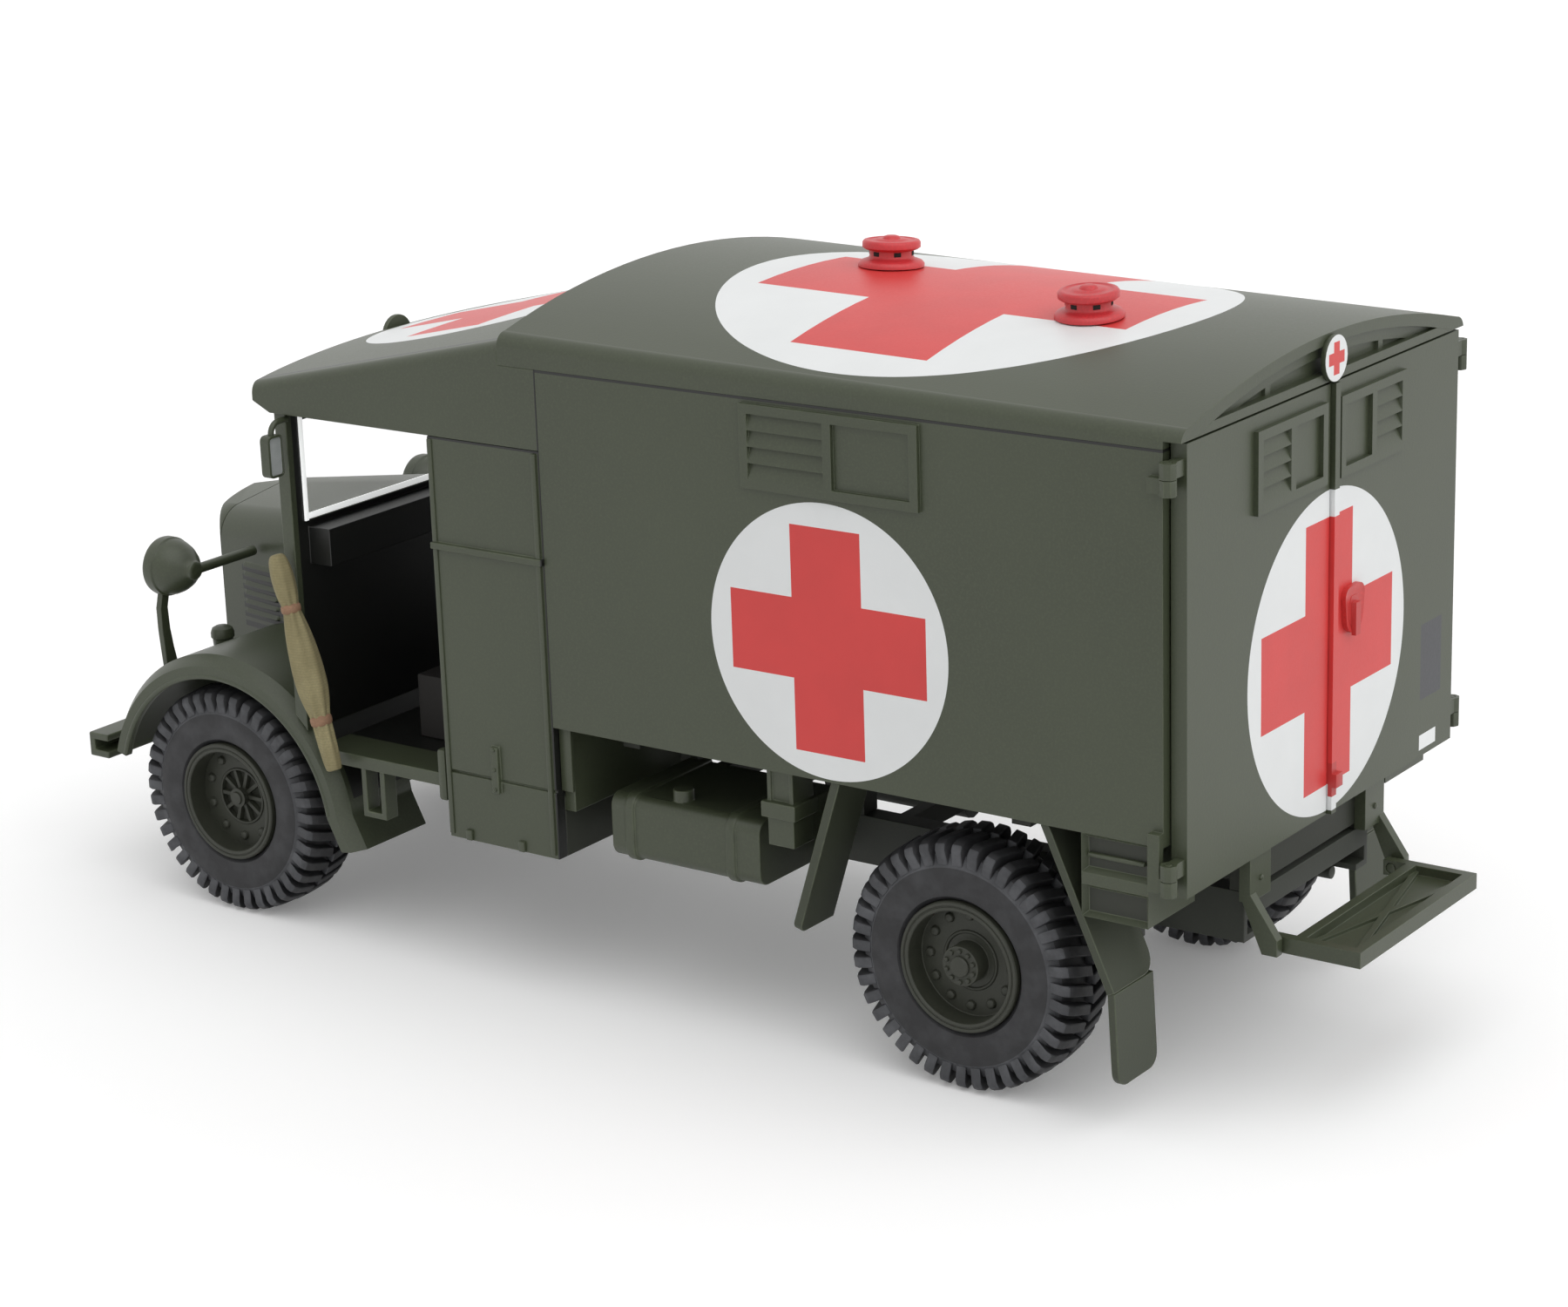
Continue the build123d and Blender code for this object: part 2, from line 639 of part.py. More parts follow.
def make_bonnet(block):
    shell = block - bonnet_block(BONNET_WALL, BONNET_LOW_Z - BONNET_WALL)
    ahead = box((BONNET_FRONT_X, FAR), (-FAR, FAR), (0, FAR))
    taper = degrees(atan2(BONNET_HALF_REAR - BONNET_HALF_FRONT, BONNET_FRONT_X - CAB_FRONT_X))
    slats = []
    for i in range(SLATS):
        z = SLAT_LOW_Z + i * SLAT_PITCH
        wedge = plate_yz([(0, z), (SLAT_OUT, z), (0, z + SLAT_H)], -SLAT_FRONT - SLAT_L, -SLAT_FRONT)
        slats.append(Pos(BONNET_FRONT_X, BONNET_HALF_FRONT, 0) * Rot(0, 0, -taper) * wedge)
    slats.extend([other_side(slat) for slat in slats])
    nodes["bonnet"] = (shell - ahead).fuse(*slats)

    nose = bonnet_block(0, RAIL_TOP_Z) & ahead
    ring = nose - bonnet_block(GRILLE_SLOT_D, RAIL_TOP_Z - GRILLE_SLOT_D)
    pitch = 2 * (BONNET_HALF_FRONT - GRILLE_MARGIN) / GRILLE_SLOTS
    slots = []
    for i in range(GRILLE_SLOTS):
        y = (i - (GRILLE_SLOTS - 1) / 2) * pitch
        slot = box(
            (BONNET_FRONT_X + GRILLE_SLOT_D, FAR),
            (y - GRILLE_SLOT_W / 2, y + GRILLE_SLOT_W / 2),
            (BONNET_LOW_Z + GRILLE_MARGIN, BONNET_RIDGE_FRONT_Z - BONNET_ROUND - GRILLE_MARGIN),
        )
        slots.append(ring & slot)
    nodes["grille"] = nose.cut(*slots)


def make_wings(block):
    crown, arch, out_y = WING_CROWN_R, WING_ARCH_R, WING_OUT_Y
    profile = [
        (crown, WING_IN_Y),
        (crown, out_y - WING_BEVEL),
        (crown - WING_BEVEL * 0.7, out_y),
        (arch, out_y),
        (arch, out_y - WING_T),
        (crown - WING_T, out_y - WING_T),
        (crown - WING_T, WING_IN_Y),
    ]
    spot = Pos(WING_X, 0, WING_CENTRE_Z)
    wing = spot * turned(profile, -WING_REAR_DEG, WING_REAR_DEG - WING_FRONT_DEG)
    ends = [face for face in wing.faces().filter_by(GeomType.PLANE) if abs(face.normal_at().Y) < 0.01]
    rear_end = min(ends, key=lambda face: face.center().X)
    along = (-cos(radians(WING_TAIL_DEG)), 0, -sin(radians(WING_TAIL_DEG)))
    tail = extrude(rear_end, amount=WING_TAIL_L, dir=along)
    rails = box(
        (-FAR, FAR), (-FAR, RAIL_OUT_Y + FIT_GAP), (RAIL_LOW_Z - FIT_GAP, RAIL_TOP_Z + FIT_GAP)
    )
    under = box((-FAR, WING_X - WING_ARCH_R), (-FAR, WING_TAIL_IN_Y), (-FAR, RAIL_LOW_Z))
    wing = biggest(wing.fuse(tail).cut(block, nodes["grille"], rails, under))
    top_z = WING_CENTRE_Z + (WING_CROWN_R**2 - (SIDE_LAMP_X - WING_X) ** 2) ** 0.5
    lamp = flat_bar(
        (SIDE_LAMP_X, SIDE_LAMP_Y, top_z - SIDE_LAMP_R / 2),
        (SIDE_LAMP_X, SIDE_LAMP_Y, top_z + SIDE_LAMP_H),
        SIDE_LAMP_R,
        HIDDEN_SIDES,
    )
    nodes["wing_left"] = wing.fuse(lamp)
    nodes["wing_right"] = other_side(nodes["wing_left"])


def make_lamps(block):
    rear_x, rim_x = LAMP_X - LAMP_L, LAMP_X - LAMP_RIM_L
    face = ((LAMP_X - LAMP_LIP, LAMP_Y, LAMP_Z), (LAMP_X, LAMP_Y, LAMP_Z))
    rim = flat_bar((rim_x, LAMP_Y, LAMP_Z), face[1], LAMP_R, ROUND_SIDES)
    seat = flat_bar(*face, LAMP_R - LAMP_LIP, ROUND_SIDES)
    bowl = rim - seat
    mid_x, mid_r = rear_x + LAMP_RIM_L, LAMP_R * LAMP_DOME
    steps = ((rim_x, LAMP_R), (mid_x, mid_r), (rear_x, LAMP_BACK_R))
    for (x0, r0), (x1, r1) in zip(steps, steps[1:]):
        bowl = bowl.fuse(flat_cone((x0, LAMP_Y, LAMP_Z), (x1, LAMP_Y, LAMP_Z), r0, r1, ROUND_SIDES))
    foot_z = WING_CENTRE_Z + WING_CROWN_R * sin(radians(WING_FRONT_DEG))
    arm = plate_yz(
        [
            (LAMP_Y, LAMP_Z - LAMP_R + LAMP_LIP),
            (LAMP_Y + LAMP_ARM, LAMP_Z - LAMP_R + LAMP_LIP),
            (LAMP_Y + LAMP_ARM, foot_z),
            (LAMP_Y - LAMP_ARM, foot_z),
        ],
        rim_x,
        rim_x + LAMP_ARM,
    )
    tie_x = rear_x + LAMP_TIE
    tie = flat_bar((tie_x, 0, LAMP_Z), (tie_x, LAMP_Y, LAMP_Z), LAMP_TIE / 2, HIDDEN_SIDES)
    lamp = biggest(bowl.fuse(arm, tie).cut(wing_room(FIT_GAP), block))
    nodes["headlamps"] = both_sides(lamp)
    lens = flat_bar(*face, LAMP_R - LAMP_LIP - 2 * FIT_GAP, ROUND_SIDES)
    nodes["headlamp_lenses"] = both_sides(lens)


def make_front():
    block = bonnet_block(0, BONNET_LOW_Z)
    make_bonnet(block)
    make_wings(block)
    make_lamps(block)
    bumper = box(
        (BUMPER_FRONT_X - BUMPER_D, BUMPER_FRONT_X),
        (-BUMPER_HALF_W, BUMPER_HALF_W),
        (BUMPER_LOW_Z, BUMPER_LOW_Z + BUMPER_H),
    )
    channel = box(
        (-FAR, BUMPER_FRONT_X - BUMPER_WALL),
        (-FAR, FAR),
        (BUMPER_LOW_Z + BUMPER_WALL, BUMPER_LOW_Z + BUMPER_H - BUMPER_WALL),
    )
    nodes["bumper"] = bumper - channel


# Roofs


def tilted_arch(front_x, half, edge_z, crown, edge_round, rise):
    """A crowned roof with rounded edges, tilted about its front edge to rise by so much per length."""
    e = edge_round
    k = e * (1 - cos(pi / 4))
    side = Polyline((FAR, half, -e), (FAR, half, -FAR), (FAR, -half, -FAR), (FAR, -half, -e))
    right = ThreePointArc((FAR, -half, -e), (FAR, -half + k, -k), (FAR, -half + e, 0))
    top = ThreePointArc((FAR, -half + e, 0), (FAR, 0, crown), (FAR, half - e, 0))
    left = ThreePointArc((FAR, half - e, 0), (FAR, half - k, -k), (FAR, half, -e))
    arch = extrude(make_face(Curve() + [side, right, top, left]), amount=2 * FAR, dir=(-1, 0, 0))
    return Pos(front_x, 0, edge_z) * Rot(0, -degrees(atan2(rise, 1)), 0) * arch


def make_body_roof():
    rise = ROOF_FALL / (ROOF_FRONT_X - ROOF_REAR_X)
    shape = (ROOF_CROWN, ROOF_ROUND, rise)
    outer = tilted_arch(ROOF_FRONT_X, HALF_BODY, ROOF_EDGE_Z, *shape)
    inner = tilted_arch(ROOF_FRONT_X, INNER_Y, ROOF_EDGE_Z - ROOF_T, *shape)
    solid = outer & box((ROOF_REAR_X, ROOF_FRONT_X), (-FAR, FAR), (WALL_TOP_Z, FAR))
    head_z = DOOR_TOP_Z + DOOR_GAP
    over_doors = box((-FAR, BODY_REAR_X), (-FAR, FAR), (0, head_z))
    hollow = inner & box((-FAR, BODY_FRONT_X - WALL_T), (-FAR, FAR), (0, FAR))
    nodes["body_roof"] = solid - over_doors - hollow

    sunk_z = head_z + HEADER_LEDGE_H
    header = inner & box((HEADER_X, BODY_REAR_X), (-FAR, FAR), (head_z, FAR))
    sunk = (Pos(0, 0, -HEADER_MARGIN) * inner) & box(
        (HEADER_X, HEADER_X + HEADER_SUNK),
        (-INNER_Y + HEADER_MARGIN, INNER_Y - HEADER_MARGIN),
        (sunk_z, FAR),
    )
    ribs = [box((-FAR, FAR), (y - HEADER_RIB_W / 2, y + HEADER_RIB_W / 2), (0, FAR)) for y in HEADER_RIB_YS]
    ledge = box((DOOR_OUT_X, BODY_REAR_X), (-INNER_Y, INNER_Y), (head_z, sunk_z))
    nodes["rear_header"] = header.cut(sunk.cut(*ribs)).fuse(ledge & inner)
    sign_z = head_z + SIGN_R
    rear_sign = flat_bar((DOOR_OUT_X - SIGN_T, 0, sign_z), (DOOR_OUT_X, 0, sign_z), SIGN_R, ROUND_SIDES)

    vents = []
    for x, y in VENTS:
        lean = 2 * ROOF_CROWN * y / (HALF_BODY - ROOF_ROUND) ** 2
        z = ROOF_EDGE_Z + ROOF_CROWN - lean * y / 2 - rise * (ROOF_FRONT_X - x) + FIT_GAP
        rings = [
            flat_bar((0, 0, low), (0, 0, high), radius, ROUND_SIDES) for radius, low, high in VENT_RINGS
        ]
        vents.append(Pos(x, y, z) * Rot(degrees(-lean), 0, 0) * rings[0].fuse(*rings[1:]))
    nodes["roof_ventilators"] = Compound(vents)
    return solid, rear_sign


def make_cab_roof(body_roof):
    rise = -(CAB_ROOF_REAR_Z - CAB_ROOF_FRONT_Z) / (CAB_ROOF_FRONT_X - ROOF_FRONT_X)
    bow_r = (HALF_BODY**2 + CAB_ROOF_BOW**2) / (2 * CAB_ROOF_BOW)
    nose_x = CAB_ROOF_FRONT_X + CAB_ROOF_BOW
    shape = (CAB_ROOF_CROWN, CAB_ROOF_ROUND, rise)
    outer = tilted_arch(CAB_ROOF_FRONT_X, HALF_BODY, CAB_ROOF_FRONT_Z, *shape)
    inner = tilted_arch(CAB_ROOF_FRONT_X, INNER_Y, CAB_ROOF_FRONT_Z - WALL_T, *shape)
    bow = bar((nose_x - bow_r, 0, PANEL_TOP_Z), (nose_x - bow_r, 0, FAR), bow_r)
    under = plate_xz(
        [
            (CAB_FRONT_X, PANEL_TOP_Z),
            (FAR, PANEL_TOP_Z + (FAR - CAB_FRONT_X) * VISOR_RISE),
            (FAR, 0),
            (CAB_FRONT_X, 0),
        ],
        -FAR,
        FAR,
    )
    hollow = inner & box((-FAR, CAB_BACK_X), (-FAR, FAR), (0, FAR))
    whole = outer & bow & box((BODY_FRONT_X, FAR), (-FAR, FAR), (0, FAR))
    nodes["cab_roof"] = biggest(whole.cut(under, hollow, body_roof))
    sign_z = CAB_ROOF_FRONT_Z - WALL_T / 2
    return flat_bar((nose_x, 0, sign_z), (nose_x + SIGN_T, 0, sign_z), SIGN_R, ROUND_SIDES)


def make_roofs():
    body_roof, rear_sign = make_body_roof()
    front_sign = make_cab_roof(body_roof)
    nodes["sign_discs"] = Compound([rear_sign, front_sign])


# Cab


def make_cab_shell():
    room_left = wing_room(FIT_GAP)
    room_right = other_side(room_left)
    low_z = RAIL_TOP_Z
    floor = box((BODY_FRONT_X, CAB_BACK_X), (-INNER_Y, INNER_Y), (low_z, CAB_FLOOR_Z))
    sill = box((PANEL_FRONT_X, CAB_BACK_X), (-CAB_Y, CAB_Y), (low_z, CAB_FLOOR_Z))
    x0, x1 = FOOT_STRAP_X - FOOT_STRAP_W / 2, FOOT_STRAP_X + FOOT_STRAP_W / 2
    y0, y1 = CAB_Y - SIDE_GAP - FOOT_STRAP_D, CAB_Y - SIDE_GAP
    strap = box((x0, x1), (y0, y1), (low_z - FOOT_STRAP_DROP, low_z)) - box(
        (x0 + FOOT_STRAP_T, x1 - FOOT_STRAP_T), (-FAR, FAR), (low_z - FOOT_STRAP_DROP + FOOT_STRAP_T, low_z)
    )
    floor = floor.fuse(sill).cut(room_left, room_right)
    nodes["cab_floor"] = floor.fuse(strap, other_side(strap))

    front = box((CAB_BACK_X, CAB_FRONT_X), (-CAB_Y, CAB_Y), (low_z, PANEL_TOP_Z))
    pane_y = CAB_Y - SCREEN_SIDE_W
    window = box((-FAR, FAR), (SCREEN_POST_W / 2, pane_y), (SCREEN_LOW_Z, SCREEN_TOP_Z))
    dash_top = SCREEN_LOW_Z - FOOT_STRAP_T
    dash = box((CAB_BACK_X - DASH_D, CAB_BACK_X), (-pane_y, pane_y), (dash_top - DASH_H, dash_top))
    nodes["cab_front"] = front.cut(window, other_side(window), room_left, room_right).fuse(dash)
    mid_x = (CAB_BACK_X + CAB_FRONT_X) / 2
    pane = window & box((mid_x - GLASS_T / 2, mid_x + GLASS_T / 2), (-FAR, FAR), (0, FAR))
    nodes["windscreen"] = both_sides(pane)

    panel = box((BODY_FRONT_X, PANEL_FRONT_X), (INNER_Y, HALF_BODY), (LOCKER_LOW_Z, PANEL_TOP_Z))
    bead_z = (PANEL_BEAD_Z - BEAD / 2, PANEL_BEAD_Z + BEAD)
    bead = box((BODY_FRONT_X, PANEL_FRONT_X), (HALF_BODY, HALF_BODY + BEAD), bead_z)
    split = box((-FAR, FAR), (HALF_BODY - SIDE_GAP, FAR), (LOCKER_SPLIT_Z - SIDE_GAP, LOCKER_SPLIT_Z))
    hinge = box(
        (LOCKER_HINGE_X - BEAD, LOCKER_HINGE_X + BEAD),
        (HALF_BODY - SIDE_GAP, HALF_BODY + BEAD),
        (LOCKER_SPLIT_Z - LOCKER_HINGE_H * 0.3, LOCKER_SPLIT_Z + LOCKER_HINGE_H * 0.7),
    )
    nodes["side_panel_left"] = (panel - split).fuse(bead, hinge)
    nodes["side_panel_right"] = other_side(nodes["side_panel_left"])
    locker = box((BODY_FRONT_X, PANEL_FRONT_X), (RAIL_OUT_Y + LOCKER_GAP, INNER_Y), (LOCKER_LOW_Z, low_z))
    nodes["lockers"] = both_sides(locker)


def make_cab_fittings():
    seats = []
    for y in (-SEAT_Y, SEAT_Y):
        wide = (y - SEAT_W / 2, y + SEAT_W / 2)
        cushion = box((SEAT_X, SEAT_X + SEAT_L), wide, (CAB_FLOOR_Z, CAB_FLOOR_Z + SEAT_H))
        back = box((SEAT_X - SEAT_BACK_T, SEAT_X), wide, (CAB_FLOOR_Z, CAB_FLOOR_Z + SEAT_BACK_H))
        seats.append(cushion.fuse(back))
    nodes["seats"] = Compound(seats)

    hub = Vector(STEER_X, -SEAT_Y, STEER_Z)
    foot = Vector(CAB_BACK_X, -SEAT_Y, STEER_FOOT_Z)
    tilt = Plane(origin=hub, z_dir=hub - foot)
    ring = extrude(RegularPolygon(STEER_R, STEER_SIDES), amount=STEER_T) - extrude(
        RegularPolygon(STEER_R - STEER_T, STEER_SIDES), amount=STEER_T
    )
    spoke = Pos(0, 0, STEER_T / 2) * Box(2 * STEER_R - STEER_T, STEER_T, STEER_T / 2)
    wheel = tilt * ring.fuse(spoke, Rot(0, 0, 90) * spoke)
    column = flat_bar(hub, foot + (foot - hub).normalized(), STEER_T, HIDDEN_SIDES)
    boss = flat_bar(hub, hub + (hub - foot).normalized() * STEER_T, STEER_T, HIDDEN_SIDES)
    nodes["steering_wheel"] = wheel.fuse(boss, column - box((CAB_BACK_X, FAR), (-FAR, FAR), (0, FAR)))

    y = HALF_BODY + MIRROR_OUT
    top_z = MIRROR_LOW_Z + MIRROR_H
    arm_x = CAB_BACK_X + CAB_FRONT_T / 2
    half = MIRROR_ARM / 2
    head = Pos(MIRROR_X, y, MIRROR_LOW_Z + MIRROR_H / 2) * Box(MIRROR_T, MIRROR_W, MIRROR_H)
    out = box((arm_x - half, arm_x + half), (CAB_Y, y + half), (top_z, top_z + MIRROR_ARM))
    back = box((MIRROR_X, arm_x), (y - half, y + half), (top_z, top_z + MIRROR_ARM))
    nodes["mirrors"] = both_sides(head.fuse(out, back))

    roll_y = CAB_Y + ROLL_R + FIT_GAP
    (top_x, top_z), (low_x, low_z) = ROLL_TOP, ROLL_LOW
    middle = ((low_x + top_x) / 2, roll_y, (low_z + top_z) / 2)
    halves = [
        flat_cone(middle, (x, roll_y, z), ROLL_R, ROLL_END_R, ROLL_SIDES) for x, z in (ROLL_TOP, ROLL_LOW)
    ]
    nodes["rolled_screens"] = both_sides(halves[0].fuse(halves[1]))


# Ambulance body


def shutter(width, height):
    """A framed shutter seen flat: louvres on the left half, a sunk pane on the right half."""
    rim = BEAD * 2
    frame = Pos(0, 0, BEAD / 2) * Box(width, height, BEAD)
    pane_w = (width - 3 * rim) / 2
    pane_h = height - 2 * rim
    for sign in (-1, 1):
        frame = frame - Pos(sign * (pane_w + rim) / 2, 0, BEAD / 2) * Box(pane_w, pane_h, 2 * BEAD)
    slat_h = pane_h / LOUVRES
    slats = []
    for i in range(LOUVRES):
        y0 = -pane_h / 2 + i * slat_h
        x0 = -rim / 2 - pane_w
        wedge = make_face(Polyline((x0, y0, 0), (x0, y0 + slat_h * 0.85, 0), (x0, y0, BEAD), close=True))
        slats.append(extrude(wedge, amount=pane_w, dir=(1, 0, 0)))
    return frame.fuse(*slats)


def hinge_leaf(z):
    """A flat-sided hinge knuckle that stands on a height at the left door's hinge line."""
    return flat_bar((HINGE_X, HINGE_Y, z), (HINGE_X, HINGE_Y, z + HINGE_LEAF_H), HINGE_R, 8)


def make_body():
    floor = box((BODY_REAR_X, BODY_FRONT_X - WALL_T), (-INNER_Y, INNER_Y), (FLOOR_Z, FLOOR_Z + FLOOR_T))
    end_y = HALF_BODY - BEARER_SET_IN
    bearers = []
    for x in BEARER_XS:
        bearers.append(box((x, x + BEARER_W), (-end_y, end_y), (FLOOR_Z - BEARER_H, FLOOR_Z)))
        for side in (-1, 1):
            leg = box((x, x + BEARER_W), (side * RAIL_IN_Y, side * RAIL_OUT_Y), (RAIL_TOP_Z, FLOOR_Z))
            bearers.append(leg)
    tail = box((RAIL_REAR_X, RAIL_REAR_X + CROSS_T), (-RAIL_OUT_Y, RAIL_OUT_Y), (RAIL_TOP_Z, FLOOR_Z))
    nodes["body_floor"] = floor.fuse(tail, *bearers)

    wall = box((BODY_REAR_X, BODY_FRONT_X), (INNER_Y, HALF_BODY), (FLOOR_Z, WALL_TOP_Z))
    x0, x1, z0, z1 = SIDE_SHUTTER
    spot = Plane(origin=((x0 + x1) / 2, HALF_BODY, (z0 + z1) / 2), x_dir=(-1, 0, 0), z_dir=(0, 1, 0))
    extras = [spot * shutter(x1 - x0, z1 - z0)]
    for z in HINGE_HEIGHTS:
        low_z = z - HINGE_LEAF_H - RUN_GAP
        high_z = low_z + HINGE_LEAF_H
        wall_x = BODY_REAR_X + HINGE_LEAF_L
        wall_z = max(high_z, FLOOR_Z + HINGE_LEAF_H)
        extras.append(hinge_leaf(low_z))
        extras.append(box((HINGE_X, wall_x), (HALF_BODY, HINGE_Y), (low_z, high_z)))
        extras.append(box((BODY_REAR_X, wall_x), (HALF_BODY, HINGE_Y), (low_z, wall_z)))
        extras.append(bar((HINGE_X, HINGE_Y, low_z), (HINGE_X, HINGE_Y, z + HINGE_LEAF_H), HINGE_PIN_R))
    nodes["body_side_left"] = wall.fuse(*extras)
    nodes["body_side_right"] = other_side(nodes["body_side_left"])
    nodes["front_bulkhead"] = box(
        (BODY_FRONT_X - WALL_T, BODY_FRONT_X), (-INNER_Y, INNER_Y), (RAIL_TOP_Z, WALL_TOP_Z)
    )


def make_doors():
    door = box((DOOR_OUT_X, DOOR_IN_X), (DOOR_GAP / 2, DOOR_EDGE_Y), (DOOR_LOW_Z, DOOR_TOP_Z))
    y0, y1, z0, z1 = DOOR_SHUTTER
    spot = Plane(origin=(DOOR_OUT_X, (y0 + y1) / 2, (z0 + z1) / 2), x_dir=(0, -1, 0), z_dir=(-1, 0, 0))
    leaves = [spot * shutter(y1 - y0, z1 - z0)]
    bores = []
    for z in HINGE_HEIGHTS:
        leaves.append(hinge_leaf(z))
        leaves.append(
            box(
                (HINGE_X - HINGE_R * 0.7, HINGE_X + HINGE_R * 0.5),
                (DOOR_EDGE_Y, HINGE_Y),
                (z, z + HINGE_LEAF_H),
            )
        )
        bores.append(bar((HINGE_X, HINGE_Y, 0), (HINGE_X, HINGE_Y, FAR), HINGE_PIN_R + RUN_GAP))
    door = door.fuse(*leaves) - bores[0]
    nodes["door_left"] = door
    out_x = DOOR_OUT_X - BEAD
    cover = box((out_x, DOOR_OUT_X), (-DOOR_GAP / 2 - 2 * BEAD, -DOOR_GAP / 2), (DOOR_LOW_Z, DOOR_TOP_Z))
    latch = box(
        (out_x - BEAD, DOOR_OUT_X),
        (-DOOR_GAP / 2 - LATCH_W, -DOOR_GAP / 2),
        (LATCH_Z - LATCH_W / 2, LATCH_Z + LATCH_W / 2),
    )
    w, h = HANDLE_W / 2, HANDLE_H / 2
    upper = [(w, h - w), (w / 2, h), (-w / 2, h), (-w, h - w)]
    plate = plate_yz([*upper, *[(-y, -z) for y, z in upper]], out_x, DOOR_OUT_X)
    lever = box((out_x - BEAD, out_x), (-BEAD, BEAD), (-HANDLE_H * 0.75, h * 0.6))
    handle = Pos(0, HANDLE_Y, HANDLE_Z) * plate.fuse(lever)
    nodes["door_right"] = other_side(door).fuse(cover, latch, handle)


# Side and rear fittings


def tank_block(grow, rear_x, length):
    tank = box(
        (rear_x, rear_x + length),
        (RAIL_OUT_Y, HALF_BODY - TANK_IN + grow),
        (TANK_LOW_Z - grow, TANK_TOP_Z + grow),
    )
    edges = [edge for edge in tank.edges().filter_by(Axis.X) if edge.center().Y > RAIL_OUT_Y + TANK_IN]
    return fillet(edges, TANK_ROUND + grow)


def make_fittings():
    starts = [TANK_REAR_X + TANK_L * share for share in TANK_STRAP_SHARES]
    straps = [tank_block(TANK_STRAP_T, start, TANK_STRAP_W) for start in starts]
    filler_y = HALF_BODY - TANK_IN - 2 * FILLER_R
    low_z, high_z = TANK_TOP_Z - TANK_STRAP_T, TANK_TOP_Z + FILLER_H
    filler = flat_bar((FILLER_X, filler_y, low_z), (FILLER_X, filler_y, high_z), FILLER_R, HIDDEN_SIDES)
    nodes["fuel_tank"] = tank_block(0, TANK_REAR_X, TANK_L).fuse(filler, *straps)

    out_y = HALF_BODY - DOOR_SET_IN
    x0, x1 = CARRIER_X - CARRIER_W / 2, CARRIER_X + CARRIER_W / 2
    post = box((x0, x1), (out_y - CARRIER_D, out_y), (CARRIER_LOW_Z, FLOOR_Z))
    band_z = CARRIER_BAND_Z + CARRIER_BAND_H
    face = box((x0 + BEAD, x1 - BEAD), (out_y - SIDE_GAP, FAR), (band_z, FLOOR_Z - BEAD))
    band = box((x0 - BEAD, x1 + BEAD), (out_y - CARRIER_D, out_y + BEAD), (CARRIER_BAND_Z, band_z))
    nodes["can_carrier"] = (post - face).fuse(band)

    x0, x1 = TOOL_BOX_REAR_X, TOOL_BOX_REAR_X + TOOL_BOX_L
    low_z = FLOOR_Z - TOOL_BOX_H
    tool_box = box((x0, x1), (HALF_BODY - TOOL_BOX_D, HALF_BODY), (low_z, FLOOR_Z))
    rim, half = TOOL_BOX_RIM, TOOL_BOX_L / 2
    for start in (x0 + rim, x0 + half + rim / 2):
        tool_box = tool_box - box(
            (start, start + half - 1.5 * rim), (HALF_BODY - SIDE_GAP, FAR), (low_z + rim, FLOOR_Z - rim)
        )
    nodes["tool_boxes"] = both_sides(tool_box)

    flap_y = HALF_BODY - FLAP_SET_IN
    top_x, top_z = TYRE_R * 0.92, FLOOR_Z
    lean = FLAP_T / cos(radians(18))
    foot_x, foot_z = TYRE_R * 1.33, AXLE_Z + FLAP_T / 2
    outline = [(top_x, top_z), (top_x + lean, top_z), (foot_x + lean, foot_z), (foot_x, foot_z)]
    front_flap = plate_xz(outline, flap_y - FLAP_FRONT_W, flap_y)
    top_x, bend_x, foot_x = -TYRE_R * 0.8, -TYRE_R * 1.34, -TYRE_R * 1.38
    bend_z, foot_z = AXLE_Z + 1.7 * FLAP_T, AXLE_Z - FLAP_REAR_W
    rear_flap = plate_xz(
        [
            (top_x, top_z),
            (top_x - lean, top_z),
            (bend_x - FLAP_T, bend_z),
            (foot_x - FLAP_T, foot_z),
            (foot_x, foot_z),
            (bend_x, bend_z),
        ],
        flap_y - FLAP_REAR_W,
        flap_y,
    )
    nodes["mud_flaps"] = Compound([*both_sides(front_flap).solids(), *both_sides(rear_flap).solids()])


# Rear step


